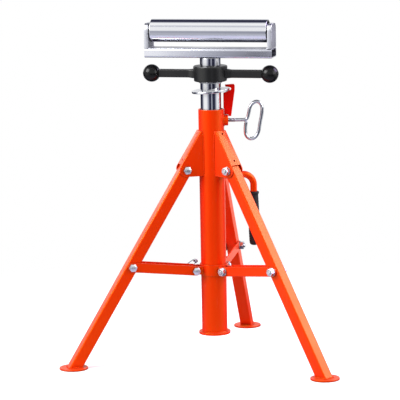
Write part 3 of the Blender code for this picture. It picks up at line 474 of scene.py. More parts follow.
def smooth_line(points, per_piece=8):
    """Catmull-Rom curve through the points: cubic pieces whose slopes are the neighbours' chords."""
    points = np.asarray(points, float)
    padded = np.concatenate([2 * points[:1] - points[1:2], points, 2 * points[-1:] - points[-2:-1]])
    a, b, c, d = padded[:-3, None], padded[1:-2, None], padded[2:-1, None], padded[3:, None]
    t = (np.arange(per_piece) / per_piece)[None, :, None]
    curve = 0.5 * (2 * b + (c - a) * t + (2 * a - 5 * b + 4 * c - d) * t ** 2 + (3 * b - a - 3 * c + d) * t ** 3)
    return np.concatenate([curve.reshape(-1, points.shape[1]), points[-1:]])


def sheet_plate(outline, thickness, edge):
    """A flat plate in the XZ plane with rounded rims.

    The outline is carried through the thickness on a quarter circle at each face: at height
    y it is drawn in along its own normals by edge * (1 - cos). The faces are closed by fans.
    """
    outline = np.asarray(outline, float)
    step = np.roll(outline, -1, axis=0) - np.roll(outline, 1, axis=0)
    inward = np.stack([-step[:, 1], step[:, 0]], axis=-1)
    inward /= np.linalg.norm(inward, axis=1, keepdims=True)
    area = np.sum(outline[:, 0] * np.roll(outline[:, 1], -1) - np.roll(outline[:, 0], -1) * outline[:, 1])
    inward *= np.sign(area)
    bend = np.linspace(0, np.pi / 2, 4)
    drawn = np.concatenate([[1.5 * edge], edge * (1 - np.sin(bend))])
    height = np.concatenate([[0.0], edge * (1 - np.cos(bend))]) - thickness / 2
    drawn = np.concatenate([drawn, drawn[::-1]])
    height = np.concatenate([height, -height[::-1]])
    rows = outline[None] + inward[None] * drawn[:, None, None]
    grid = np.stack([rows[..., 0], np.broadcast_to(height[:, None], rows.shape[:2]), rows[..., 1]], axis=-1)
    points, faces = grid_shell(grid)
    count = len(outline)
    caps = [list(range(count)), list(range(len(points) - 1, len(points) - 1 - count, -1))]
    return points, faces.tolist() + caps


def placed(shell, matrix):
    """The shell with every vertex v moved to R v + t of the matrix."""
    points, faces = shell
    matrix = np.array(matrix)
    return points @ matrix[:3, :3].T + matrix[:3, 3], faces


COLUMN = Matrix.Translation((0, COLUMN_Y, 0))
LAID_ALONG_X = Matrix.Rotation(math.radians(90), 4, "Y")


def arm(azimuth):
    """From an arm's frame, x outward and z up, to the world."""
    return COLUMN @ Matrix.Rotation(math.radians(azimuth), 4, "Z")


def piece(name, shells, material, body, *nodes, sharp=40.0, mirror_check=True):
    """Joins shells into one object that rides on a body and stands for the named nodes."""
    points = np.concatenate([np.asarray(shell[0], float) for shell in shells])
    starts = np.cumsum([0] + [len(shell[0]) for shell in shells[:-1]])
    faces = []
    for start, (_, shell_faces) in zip(starts, shells):
        listed = shell_faces.tolist() if isinstance(shell_faces, np.ndarray) else shell_faces
        faces += [[int(start) + corner for corner in face] for face in listed]
    mesh = bpy.data.meshes.new(name)
    mesh.from_pydata(points.tolist(), [], faces)
    tidy_mesh(mesh)
    return add_object(name, mesh, material, body, nodes, sharp)


def tidy_mesh(mesh):
    """Merges poles and seams, drops empty faces and turns every face outwards."""
    shape = bmesh.new()
    shape.from_mesh(mesh)
    bmesh.ops.remove_doubles(shape, verts=shape.verts, dist=0.000001)
    bmesh.ops.dissolve_degenerate(shape, edges=shape.edges, dist=0.0000005)
    bmesh.ops.recalc_face_normals(shape, faces=shape.faces)
    shape.to_mesh(mesh)
    shape.free()


def add_object(name, mesh, material, body, nodes, sharp):
    mesh.polygons.foreach_set("use_smooth", np.ones(len(mesh.polygons), bool))
    mesh.set_sharp_from_angle(angle=math.radians(sharp))
    mesh.materials.append(material)
    made = bpy.data.objects.new(name, mesh)
    bpy.context.scene.collection.objects.link(made)
    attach(made, body)
    if nodes:
        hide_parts(*nodes)
    return made


def eased(name, node, width, material, body, segments=3):
    """A CAD node's own shape, its facets merged and its sheet edges rounded by a live bevel."""
    mesh = frame["nodes"][node].data.copy()
    mesh.name = name
    mesh.materials.clear()
    shape = bmesh.new()
    shape.from_mesh(mesh)
    bmesh.ops.remove_doubles(shape, verts=shape.verts, dist=0.00001)
    bmesh.ops.dissolve_limit(shape, angle_limit=math.radians(1.0), verts=shape.verts, edges=shape.edges)
    bmesh.ops.connect_verts_concave(shape, faces=shape.faces)
    shape.to_mesh(mesh)
    shape.free()
    made = add_object(name, mesh, material, body, (node,), 35.0)
    bevel = made.modifiers.new("eased_edges", "BEVEL")
    bevel.width = width
    bevel.segments = segments
    bevel.limit_method = "ANGLE"
    bevel.angle_limit = math.radians(40)
    bevel.harden_normals = True
    bevel.use_clamp_overlap = True
    return made


def bead(path, radius, sideways, ripples, steps=10):
    """A weld bead: a rod whose radius swells by 12 percent in a wave along its path."""
    path = np.asarray(path, float)
    wave = 1 + 0.12 * np.abs(np.sin(np.linspace(0, np.pi * ripples, len(path))))
    ends = np.minimum(1, np.minimum(np.arange(len(path)), np.arange(len(path))[::-1]) / 3)
    scale = radius * wave * np.sqrt(np.clip(ends, 0.0, 1))
    section = circle(1.0, steps)[None] * scale[:, None, None]
    return grid_shell(carried(section, path, sideways))


def ring_bead(ring_radius, height, radius, ripples):
    """A weld bead round the Z axis: a torus whose tube swells with the sine of the angle."""
    turn = angles(ripples * 6)[:, None]
    tube = angles(10)[None, :]
    thick = radius * (1 + 0.12 * np.sin(turn * ripples))
    out = ring_radius + thick * np.cos(tube)
    grid = np.stack([out * np.cos(turn), out * np.sin(turn), height + thick * np.sin(tube)], axis=-1)
    return grid_shell(grid, wrap_rows=True)


# Fasteners

def hexagon(flats):
    """Angles round a hexagon with its corners among them, and the radius at each."""
    turn = angles(72)
    sector = (turn + np.pi / 6) % (np.pi / 3) - np.pi / 6
    return turn, flats / 2 / np.cos(np.pi / 6 - np.abs(sector))


def hex_body(flats, low, high, bore=0.0, both_ends=False):
    """A hexagonal head or nut, its corners turned off by a 30 degree cone.

    Height falls as high - tan(30) * (r - 0.95 * flats / 2) outside that radius, so the cone
    meets each flat in the arc that a real chamfer leaves.
    """
    turn, rim = hexagon(flats)
    start = 0.95 * flats / 2
    slope = math.tan(math.radians(30))
    part = np.linspace(0, 1, 5)[:, None]
    radius = start + part * (rim[None] - start)
    drop = slope * (radius - start)
    upper = np.stack([radius, high - drop], axis=-1)
    lower = np.stack([radius[::-1], low + (drop[::-1] if both_ends else 0 * drop)], axis=-1)
    hole = max(bore, 0.0)

    def flat_ring(r, z):
        return np.stack([np.full_like(rim, r), np.full_like(rim, z)], axis=-1)[None]

    ease = 0.6 * MM if bore > 0 else 0.0
    rows = [flat_ring(hole, high - ease), flat_ring(hole + ease, high), upper, lower]
    rows += [flat_ring(hole + ease, low), flat_ring(hole, low + ease)]
    if bore == 0:
        rows = [flat_ring(0, high), upper, lower, flat_ring(0, low)]
    shape = np.concatenate(rows)
    grid = np.stack([shape[..., 0] * np.cos(turn), shape[..., 0] * np.sin(turn), shape[..., 1]], axis=-1)
    return grid_shell(grid, wrap_rows=bore > 0)


def threaded_rod(radius, low, high, pitch, depth, steps=24, rows_per_turn=8, tip=0.8 * MM):
    """A screw thread: r = radius - depth * |2 p - 1| for the phase p = frac(z / pitch - a / 2 pi).

    The radius is pulled in to the root over the tip at both ends, and the ends are closed.
    """
    count = max(int((high - low) / pitch * rows_per_turn), 8)
    height = np.linspace(low, high, count)[:, None]
    turn = angles(steps)[None, :]
    phase = (height / pitch - turn / (2 * np.pi)) % 1.0
    ridge = radius - depth * np.abs(2 * phase - 1) ** 1.0
    room = np.minimum(height - low, high - height) / tip
    limit = radius - depth * 1.1 + depth * 1.1 * np.clip(room, 0, 1)
    reach = np.minimum(ridge, limit)
    grid = np.stack([reach * np.cos(turn), reach * np.sin(turn), height + 0 * turn], axis=-1)
    closed = np.concatenate([0 * grid[:1] + [0, 0, low], grid, 0 * grid[:1] + [0, 0, high]])
    return grid_shell(closed)


BOLT_R = 5.0 * MM
HEX_FLATS = 17.0 * MM
SHEET_FACE = span("leg_bracket_rear", 0)[1]


def bolt_frame(azimuth, out, height):
    """A bolt's frame: its Z axis runs along the arm's y, from the nut to the head."""
    return arm(azimuth) @ Matrix.Translation((out, 0, height)) @ Matrix.Rotation(math.radians(-90), 4, "X")


def bolt_head(low_end):
    """Head against the sheet's outer face, its raised centre disc and the shank below it."""
    face = SHEET_FACE + 0.3 * MM
    head = hex_body(HEX_FLATS, face, face + 6.6 * MM)
    shank = lathe([(0, face + 1 * MM), (BOLT_R, face + 1 * MM), (BOLT_R, low_end), (0, low_end)], 0.0, 32)
    flange = turned(filleted([
        (0, face + 0.9 * MM), (8.1 * MM, face + 0.9 * MM), (8.1 * MM, face), (0, face)], [0, 0.3 * MM, 0.3 * MM, 0]), 64)
    return [head, shank, flange]


def nut_stack(end):
    """Washer and nut, on the far side of the sheet."""
    face = -(SHEET_FACE + 0.3 * MM)
    seat = face - 1.6 * MM
    washer = lathe([(BOLT_R + 0.3 * MM, face), (10 * MM, face), (10 * MM, seat), (BOLT_R + 0.3 * MM, seat)], 0.35 * MM, 64)
    nut = hex_body(HEX_FLATS, seat - 8.3 * MM, seat - 0.1 * MM, bore=BOLT_R + 0.1 * MM, both_ends=True)
    return [washer, nut]


def dress_fasteners():
    """Every bolt with its nut: the head on one sheet, washer and nut on the other."""
    far_end = -(SHEET_FACE + 0.3 * MM) - 13.4 * MM
    for side, azimuth in SIDES.items():
        strut_place = strut_bolt_frame(side)
        spots = [
            ("leg_pivot", bolt_frame(azimuth, PIVOT_R, PIVOT_Z), "column", "leg_pivot_bolt_", "leg_pivot_nut_"),
            ("collar", bolt_frame(azimuth, COLLAR_BOLT_R, COLLAR_Z), "collar", "collar_bolt_", "collar_nut_")]
        for label, place, body, bolt_node, nut_node in spots:
            thread = threaded_rod(BOLT_R, far_end, -SHEET_FACE, 1.5 * MM, 0.75 * MM)
            bolt = [placed(s, place) for s in bolt_head(-SHEET_FACE) + [thread]]
            piece(f"{label}_screw_{side}", bolt, ZINC, body, bolt_node + side)
            nut = [placed(s, place) for s in nut_stack(far_end)]
            piece(f"{label}_locknut_{side}", nut, ZINC, body, nut_node + side)
        inner = SHEET_FACE - 2.5 * MM
        head = [placed(s, strut_place) for s in bolt_head(inner)]
        piece(f"strut_screw_{side}", head, ZINC, "strut_arm_" + side, "strut_bolt_head_" + side)
        thread = threaded_rod(BOLT_R, far_end, -inner, 1.5 * MM, 0.75 * MM)
        nut = [placed(s, strut_place) for s in nut_stack(far_end) + [thread]]
        piece(f"strut_locknut_{side}", nut, ZINC, "strut_arm_" + side, "strut_bolt_nut_" + side)


def strut_bolt_frame(side):
    """The strut's outer bolt, at the middle of its head's box seen in the arm's frame."""
    back = arm(SIDES[side]).inverted()
    corners = [back @ v.co for v in frame["nodes"]["strut_bolt_head_" + side].data.vertices]
    out = [c.x for c in corners]
    up = [c.z for c in corners]
    return bolt_frame(SIDES[side], (min(out) + max(out)) / 2, (min(up) + max(up)) / 2)


# Column and what is welded to it

def dress_column():
    inner = COLUMN_R - 3 * MM
    tube = tube_profile(COLUMN_R, inner, COLUMN_LOW, COLUMN_HIGH, 0.7 * MM)
    piece("column_pipe", [placed(tube, COLUMN)], ORANGE, "column", "column_tube")
    low, high = span("column_base_disc", 2)
    radius = (span("column_base_disc", 0)[1] - span("column_base_disc", 0)[0]) / 2
    disc = tube_profile(radius, inner, low, high, 1.0 * MM)
    weld = ring_bead(COLUMN_R + 0.6 * MM, high + 0.6 * MM, 1.5 * MM, 44)
    piece("column_foot_ring", [placed(s, COLUMN) for s in (disc, weld)], ORANGE, "column", "column_base_disc")
    for side, azimuth in SIDES.items():
        node = "leg_bracket_" + side
        eased("folded_bracket_" + side, node, 0.5 * MM, ORANGE, "column")
        piece("bracket_weld_" + side, bracket_welds(azimuth), ORANGE, "column")


def bracket_welds(azimuth):
    """Beads down both side sheets where they meet the column, just outside the sheet."""
    low, high = span("leg_bracket_rear", 2)
    across = SHEET_FACE + 0.5 * MM
    out = math.sqrt(COLUMN_R ** 2 - across ** 2) + 0.4 * MM
    height = np.linspace(low + 1.5 * MM, high - 6 * MM, 130)
    shells = []
    for sign in (-1, 1):
        line = np.stack([0 * height + out, 0 * height + sign * across, height], axis=-1)
        shells.append(placed(bead(line, 1.3 * MM, (1, 0, 0), 26), arm(azimuth)))
    return shells


def dress_clamp_boss():
    end = 39.8 * MM
    start = COLUMN_R - 1.0 * MM
    profile = [(5.8 * MM, end), (12.8 * MM, end), (12.8 * MM, start), (5.8 * MM, start)]
    out = Matrix.Translation((0, 0, CLAMP_Z)) @ LAID_ALONG_X
    boss = placed(lathe(profile, [0.8 * MM, 1.6 * MM, 0, 0]), arm(CLAMP_AZIMUTH) @ out)
    turn = angles(132)
    radius = 13.2 * MM
    y = radius * np.cos(turn)
    ripple = 1 + 0.12 * np.sin(turn * 22)
    tube = angles(10)[None]
    flat = np.sqrt(COLUMN_R ** 2 - y ** 2)
    thick = 1.5 * MM * ripple[:, None]
    grid = np.stack([
        flat[:, None] + thick * np.sin(tube), (radius + thick * np.cos(tube)) * np.cos(turn)[:, None],
        CLAMP_Z + (radius + thick * np.cos(tube)) * np.sin(turn)[:, None]], axis=-1)
    weld = placed(grid_shell(grid, wrap_rows=True), arm(CLAMP_AZIMUTH))
    piece("clamp_nut_boss", [boss, weld], ORANGE, "column", "clamp_boss")


def dress_hook():
    eased("ring_catch", "ring_hook", 0.5 * MM, RED, "column")


def handle_path():
    """The handle's line: out of the column, a quarter turn and straight down into the grip."""
    back = arm(HANDLE_AZIMUTH).inverted()
    grip = [back @ v.co for v in frame["nodes"]["handle_grip"].data.vertices]
    out = (min(p.x for p in grip) + max(p.x for p in grip)) / 2
    low = min(p.z for p in grip)
    high = span("carry_handle", 2)[1] - 8.0 * MM
    bend = 27.0 * MM
    turn = np.linspace(np.pi / 2, 0, 20)
    arc = np.stack([out - bend + bend * np.cos(turn), 0 * turn, high - bend + bend * np.sin(turn)], axis=-1)
    start = np.array([[COLUMN_R - 0.8 * MM, 0, high], [COLUMN_R + 14 * MM, 0, high]])
    down = np.stack([np.full(12, out), np.zeros(12), np.linspace(high - bend - 4 * MM, low + 9 * MM, 12)], axis=-1)
    return np.concatenate([start, arc, down]), out, low


def dress_handle():
    path, out, low = handle_path()
    bar = placed(round_ended(path, 8.0 * MM, (0, 1, 0), 32), arm(HANDLE_AZIMUTH))
    height = path[0][2]
    turn = angles(96)
    y = 8.6 * MM * np.cos(turn)
    tube = angles(10)[None]
    thick = 1.4 * MM * (1 + 0.12 * np.sin(turn * 16))[:, None]
    radius = 8.6 * MM + thick * np.cos(tube)
    flat = np.sqrt(COLUMN_R ** 2 - y ** 2)[:, None] + thick * np.sin(tube)
    grid = np.stack([flat, radius * np.cos(turn)[:, None], height + radius * np.sin(turn)[:, None]], axis=-1)
    weld = placed(grid_shell(grid, wrap_rows=True), arm(HANDLE_AZIMUTH))
    piece("handle_bar", [bar, weld], ORANGE, "column", "carry_handle")
    top = span("handle_grip", 2)[1] - low
    outer = [
        (0, 0), (5.0, 0.0), (9.0, 1.6), (11.2, 6.0), (12.2, 18.0), (13.2, top / MM - 85), (13.2, top / MM - 60),
        (11.4, top / MM - 22), (10.8, top / MM - 8.5), (12.3, top / MM - 5), (12.4, top / MM - 1.6),
        (11.2, top / MM - 0.1), (8.4, top / MM)]
    smooth = smooth_line(np.array(outer[1:12]) * MM, 8)
    outside = np.concatenate([[(0, 0)], smooth, [(8.4 * MM, top)], [(8.3 * MM, 6 * MM), (0, 6 * MM)]])
    grip = grip_surface(outside, top)
    place = arm(HANDLE_AZIMUTH) @ Matrix.Translation((out, 0, low))
    piece("rubber_grip", [placed(grip, place)], RUBBER, "column", "handle_grip")


def grip_surface(profile, top):
    """The grip's turned profile with shallow ribs: r - 0.35 mm * max(0, cos(2 pi z / 6 mm)) mid-way."""
    profile = profile.copy()
    dense = [profile[:1]]
    for a, b in zip(profile[:-1], profile[1:]):
        count = max(int(np.linalg.norm(b - a) / (0.8 * MM)), 1)
        dense.append(a + (b - a) * (np.arange(1, count + 1) / count)[:, None])
    line = np.concatenate(dense)
    outside = line[:, 0] > 9.5 * MM
    middle = np.clip(np.minimum(line[:, 1] - 12 * MM, top - 16 * MM - line[:, 1]) / (6 * MM), 0, 1)
    groove = 0.4 * MM * np.clip(np.cos(2 * np.pi * line[:, 1] / (6 * MM)), 0, 1) ** 2
    line[:, 0] -= np.where(outside, groove * middle, 0)
    return turned(line, 64, closed=False)


# Legs, collar and struts

def rounded_square(half, corner, steps=8):
    """A square section whose corners are quarter circles, with a point on each flat beside them."""
    turn = np.linspace(0, np.pi / 2, steps)
    quarter = np.stack([half - corner + corner * np.cos(turn), half - corner + corner * np.sin(turn)], axis=-1)
    beside = half - 1.5 * corner
    quarter = np.concatenate([[(half, beside)], quarter, [(beside, half)]])
    spin = [np.array([[c, -s], [s, c]]) for c, s in ((1, 0), (0, 1), (-1, 0), (0, -1))]
    return np.concatenate([quarter @ m.T for m in spin])


def leg_grid(half, corner, low, high, rows):
    """A leg's wall: each point of the section runs along the leg between two level planes.

    A point that lies u out from the leg's line is at height z where its way along the line is
    (z - u sin lean) / cos lean, so both ends are cut level.
    """
    section = rounded_square(half, corner)
    height = np.linspace(high, low, rows)[:, None]
    out = section[:, 0][None]
    along = (height - out * math.sin(LEAN)) / math.cos(LEAN)
    x = out * math.cos(LEAN) - along * math.sin(LEAN)
    y = np.broadcast_to(section[:, 1][None], x.shape)
    z = out * math.sin(LEAN) + along * math.cos(LEAN)
    return np.stack([x, y, z], axis=-1)


def dress_legs():
    """Square tubes with their round feet and the bead between them."""
    top = span("leg_tube_rear", 2)[1] - PIVOT_Z
    foot_top = span("foot_disc_rear", 2)[1]
    low = foot_top - PIVOT_Z + 0.1 * MM
    half = 14.0 * MM
    wall = 2.0 * MM
    outer = leg_grid(half, 3.4 * MM, low, top, 40)
    inner = leg_grid(half - wall, 1.6 * MM, low, top, 40)
    tube = grid_shell(np.concatenate([outer, inner[::-1]]), wrap_rows=True)
    foot_radius = (span("foot_disc_rear", 0)[1] - span("foot_disc_rear", 0)[0]) / 2
    disc = lathe([(0, foot_top), (foot_radius, foot_top), (foot_radius, 0), (0, 0)], [0, 1.2 * MM, 0.8 * MM, 0])
    for side, azimuth in SIDES.items():
        body = "leg_" + side
        place = arm(azimuth) @ Matrix.Translation((PIVOT_R, 0, PIVOT_Z))
        piece("square_leg_" + side, [placed(tube, place)], ORANGE, body, "leg_tube_" + side)
        foot = placed(disc, arm(azimuth) @ Matrix.Translation((FOOT_R, 0, 0)))
        weld = placed(foot_weld(half, low), place)
        piece("round_foot_" + side, [foot, weld], ORANGE, body, "foot_disc_" + side)


def foot_weld(half, low):
    """A bead round the leg's square outline on the foot: the section's own line at foot level."""
    section = rounded_square(half + 0.5 * MM, 3.6 * MM, 12)
    closed = np.concatenate([section, section[:1]])
    length = np.concatenate([[0], np.cumsum(np.linalg.norm(np.diff(closed, axis=0), axis=1))])
    even = np.linspace(0, length[-1], 201)[:-1]
    u = np.interp(even, length, closed[:, 0])
    v = np.interp(even, length, closed[:, 1])
    along = (low - u * math.sin(LEAN)) / math.cos(LEAN)
    line = np.stack([u * math.cos(LEAN) - along * math.sin(LEAN), v, 0 * u + low + 0.5 * MM], axis=-1)
    tangent = np.roll(line, -1, axis=0) - np.roll(line, 1, axis=0)
    tangent /= np.linalg.norm(tangent, axis=1, keepdims=True)
    outward = np.cross(tangent, (0, 0, 1))
    thick = (1.7 * MM * (1 + 0.13 * np.sin(even / length[-1] * 2 * np.pi * 30)))[:, None, None]
    tube = angles(10)[None, :, None]
    grid = line[:, None] + thick * (np.cos(tube) * outward[:, None] + np.sin(tube) * np.array([0, 0, 1.0]))
    return grid_shell(grid, wrap_rows=True)


def dress_collar_and_struts():
    eased("sliding_collar", "slide_collar", 0.45 * MM, ORANGE, "collar")
    for side in SIDES:
        eased("channel_strut_" + side, "strut_" + side, 0.45 * MM, ORANGE, "strut_arm_" + side)
    place = arm(LOCK_AZIMUTH) @ Matrix.Translation((0, 0, COLLAR_Z)) @ LAID_ALONG_X
    start = COLUMN_R + 0.7 * MM
    end = 56.0 * MM
    pin = lathe([(0, end), (4 * MM, end), (4 * MM, start), (0, start)], [0, 0.8 * MM, 0.8 * MM, 0], 48)
    piece("spring_pin", [placed(pin, place)], ZINC, "pin", "lock_pin")
    wire = round_ended(clip_line(), 1.1 * MM, (0.02, 1, 0.03), 14)
    piece("wire_clip", [placed(wire, arm(LOCK_AZIMUTH) @ Matrix.Translation((0, 0, COLLAR_Z)))], STEEL, "pin", "lock_pin_clip")


def clip_line():
    """The clip's wire: through the pin's eye, two and a quarter turns of coil, then its tail."""
    eye = 52.0
    lead = np.array([(eye, -6.0, -1.0), (eye, -4.6, 0), (eye, 0, 0), (eye, 4.6, 0.2), (eye + 1.0, 7.0, 2.5)])
    turn = np.linspace(0, 2 * np.pi * 2.25, 60)
    travel = np.linspace(0, 3.0 * 2.25, 60)
    coil = np.stack([56 + 4.2 * np.sin(turn), 7.5 - travel, 12 - 4.2 * np.cos(turn)], axis=-1)
    x, y, z = coil[-1]
    tail = np.array([(x + 8, y - 1.5, z + 0.6), (x + 20, y - 3, z - 6), (x + 30, y - 4, z - 12)])
    lead = smooth_line(lead, 6)
    ends = smooth_line(np.concatenate([coil[-1:], tail]), 8)[1:]
    return np.concatenate([lead[:-1], coil, ends]) * MM


# Post, jack and head

def dress_post():
    post = tube_profile(POST_R, POST_R - 3 * MM, POST_LOW, POST_HIGH, 0.6 * MM)
    piece("chrome_post", [placed(post, COLUMN)], CHROME, "post", "inner_post")
    low, high = span("thrust_washer", 2)
    washer = tube_profile(POST_R + 3.5 * MM, 15.6 * MM, low, high, 0.5 * MM)
    piece("bearing_washer", [placed(washer, COLUMN)], STEEL, "post", "thrust_washer")


def dress_jack():
    """Hub turned with soft shoulders, two square arms that widen into it, and ball knobs."""
    bottom_r = HUB_R - 1.4 * MM
    bore = 15.5 * MM
    hub = lathe(
        [(bore, HUB_HIGH), (HUB_R, HUB_HIGH), (HUB_R, HUB_HIGH - 6 * MM), (bottom_r, HUB_LOW), (bore, HUB_LOW)],
        [1.2 * MM, 2.6 * MM, 2.0 * MM, 2.6 * MM, 1.2 * MM])
    arm_z = sum(span("ball_knob_left", 2)) / 2
    ball_r = (span("ball_knob_left", 2)[1] - span("ball_knob_left", 2)[0]) / 2
    ball_x = span("ball_knob_right", 0)[1] - ball_r
    outer = span("ball_knob_right", 0)[0]
    shells = [placed(hub, COLUMN)]
    for sign in (-1, 1):
        shells.append(placed(arm_bar(sign, outer), COLUMN @ Matrix.Translation((0, 0, arm_z))))
    piece("jack_hub", shells, CAST, "nut", "jack_nut")
    for sign, side in ((-1, "left"), (1, "right")):
        face = outer - ball_x
        polar = np.linspace(math.acos(face / ball_r), 0, 60)
        line = np.stack([ball_r * np.sin(polar), ball_r * np.cos(polar)], axis=-1)
        flat = [(0.0, face), (line[0, 0] - 0.4 * MM, face)]
        knob = turned(np.concatenate([flat, line]), 96, closed=False)
        lie = Matrix.Rotation(math.radians(90 * sign), 4, "Y")
        place = COLUMN @ Matrix.Translation((sign * ball_x, 0, arm_z)) @ lie
        piece("round_knob_" + side, [placed(knob, place)], KNOB, "nut", "ball_knob_" + side)


def arm_bar(sign, outer):
    """A bar of rounded rectangle section whose width and height swell near the hub.

    The swell is 1 + 0.16 * f(s), with f falling from 1 to 0 as a cosine over the first 14 mm.
    """
    start = HUB_R - 5 * MM
    x = np.concatenate([np.linspace(start, start + 20 * MM, 24), np.linspace(start + 22 * MM, outer - 0.2 * MM, 12)])
    fall = 0.5 + 0.5 * np.cos(np.pi * np.clip((x - start - 4 * MM) / (14 * MM), 0, 1))
    square = rounded_square(1.0, 0.32)
    height = 9.5 * MM * (1 + 0.14 * fall)
    depth = 7.5 * MM * (1 + 0.30 * fall)
    y = square[:, 0][None] * depth[:, None]
    z = square[:, 1][None] * height[:, None]
    grid = np.stack([np.broadcast_to(sign * x[:, None], y.shape), y, z], axis=-1)
    ends = [np.broadcast_to(grid[i].mean(axis=0), grid[:1].shape) for i in (0, -1)]
    return grid_shell(np.concatenate([ends[0], grid, ends[1]]))


def dress_screw():
    low, high = span("jack_screw", 2)
    screw = threaded_rod(15 * MM, low, high, 6 * MM, 2.6 * MM, 64, 12, 2 * MM)
    piece("threaded_jack_rod", [placed(screw, COLUMN)], STEEL, "screw", "jack_screw")
    low, high = span("head_socket", 2)
    floor = low + 6 * MM
    bore = 17 * MM
    cup = turned(filleted(
        [(0, floor), (bore, floor), (bore, high), (POST_R, high), (POST_R, low), (0, low)],
        [0, 0, 0.4 * MM, 0.7 * MM, 0.7 * MM, 0]), closed=False)
    piece("head_cup", [placed(cup, COLUMN)], CHROME, "screw", "head_socket")
    low, high = span("head_shank", 2)
    shank = lathe([(0, high), (16.5 * MM, high), (16.5 * MM, low), (0, low)], [0, 0.3 * MM, 0.8 * MM, 0])
    piece("head_pin", [placed(shank, COLUMN)], CHROME, "head", "head_shank")


def rounded_bar(half_y, half_z, corner, steps=8):
    """A rectangle's outline in (y, z) with quarter circle corners."""
    turn = np.linspace(0, np.pi / 2, steps)
    quarter = np.stack([corner * np.cos(turn), corner * np.sin(turn)], axis=-1)
    quarter = np.concatenate([[(corner, -0.5 * corner)], quarter, [(-0.5 * corner, corner)]])
    parts = []
    for index, (sy, sz) in enumerate(((1, 1), (-1, 1), (-1, -1), (1, -1))):
        spin = index * np.pi / 2
        c, s = math.cos(spin), math.sin(spin)
        parts.append(quarter @ np.array([[c, s], [-s, c]]) + [sy * (half_y - corner), sz * (half_z - corner)])
    return np.concatenate(parts)


def dress_base_bar():
    """The open rectangular tube: its outer and inner outlines run along X, joined at both ends."""
    half_y = (span("head_base", 1)[1] - span("head_base", 1)[0]) / 2
    half_z = (BASE_HIGH - BASE_LOW) / 2
    middle = (BASE_HIGH + BASE_LOW) / 2
    wall = 3 * MM
    ease = 0.5 * MM

    def ring_at(x, inset, corner):
        outline = rounded_bar(half_y - inset, half_z - inset, corner)
        return np.concatenate([np.full((len(outline), 1), x), outline], axis=1) + [0, 0, middle]

    outer = [ring_at(x, i, 5 * MM - i) for x, i in (
        (-BASE_HALF, ease), (-BASE_HALF + ease * 0.3, ease * 0.3), (-BASE_HALF + ease, 0), (BASE_HALF - ease, 0),
        (BASE_HALF - ease * 0.3, ease * 0.3), (BASE_HALF, ease))]
    inner = [ring_at(x, wall, 2 * MM) for x in (BASE_HALF, -BASE_HALF)]
    tube = grid_shell(np.stack(outer + inner), wrap_rows=True)
    piece("base_bar", [placed(tube, COLUMN)], PLATED, "head", "head_base")


def dress_end_plates():
    """Upright plates with round shoulders, a bead at their foot and the axle's peened end."""
    bottom, top = span("roller_bracket_left", 2)
    half = (span("roller_bracket_left", 1)[1] - span("roller_bracket_left", 1)[0]) / 2
    low_x, high_x = span("roller_bracket_right", 0)
    corner = 12 * MM
    outline = filleted([(-half, bottom), (half, bottom), (half, top), (-half, top)], [0, 0, corner * 1.35, corner * 1.35], 14)
    turn_plate = Matrix.Rotation(math.radians(90), 4, "Z")
    for sign, side in ((-1, "left"), (1, "right")):
        place = COLUMN @ Matrix.Translation((sign * (low_x + high_x) / 2, 0, 0)) @ turn_plate
        plate = placed(sheet_plate(outline, high_x - low_x, 0.9 * MM), place)
        weld_y = np.linspace(-half + 2 * MM, half - 2 * MM, 110)
        line = np.stack([0 * weld_y + sign * (low_x - 0.5 * MM), weld_y, 0 * weld_y + bottom], axis=-1)
        weld = placed(bead(line, 1.3 * MM, (0, 0, 1), 20), COLUMN)
        piece("roller_cheek_" + side, [plate, weld], CHEEK, "head", "roller_bracket_" + side)
    end = span("roller_axle", 0)[1]
    radius = 6 * MM
    shaft = lathe([(0, end), (radius, end), (radius, -end), (0, -end)], [0, 0.8 * MM, 0.8 * MM, 0], 64)
    cap = turned([(0, high_x + 0.0 * MM), (3 * MM, high_x - 0.05 * MM), (5 * MM, high_x - 0.35 * MM), (5.6 * MM, end), (0, end)], 64, closed=False)
    other = placed(cap, LAID_ALONG_X @ Matrix.Rotation(math.pi, 4, "X"))
    shells = [placed(shaft, LAID_ALONG_X), placed(cap, LAID_ALONG_X), other]
    place = COLUMN @ Matrix.Translation((0, 0, ROLLER_Z))
    piece("roller_spindle", [placed(s, place) for s in shells], STEEL, "head", "roller_axle")


def dress_roller():
    half = span("roller_tube", 0)[1]
    radius = (span("roller_tube", 2)[1] - span("roller_tube", 2)[0]) / 2
    place = COLUMN @ Matrix.Translation((0, 0, ROLLER_Z)) @ LAID_ALONG_X
    tube = tube_profile(radius, radius - 2.5 * MM, -half, half, 1.2 * MM)
    piece("chrome_roller", [placed(tube, place)], CHROME, "roller", "roller_tube")
    for sign, side in ((-1, "left"), (1, "right")):
        node = "roller_end_cap_" + side
        low, high = span(node, 0)
        rim = (span(node, 2)[1] - span(node, 2)[0]) / 2
        face = high if sign > 0 else low
        back = low if sign > 0 else high
        dish = face - sign * 1.2 * MM
        profile = filleted(
            [(6.5 * MM, face), (11 * MM, face), (12 * MM, dish), (rim - 3 * MM, dish), (rim - 2 * MM, face), (rim, face),
             (rim, back), (6.5 * MM, back)], 0.35 * MM)
        piece("roller_plug_" + side, [placed(turned(profile), place)], STEEL, "roller", node)


# Lock ring and clamp screw

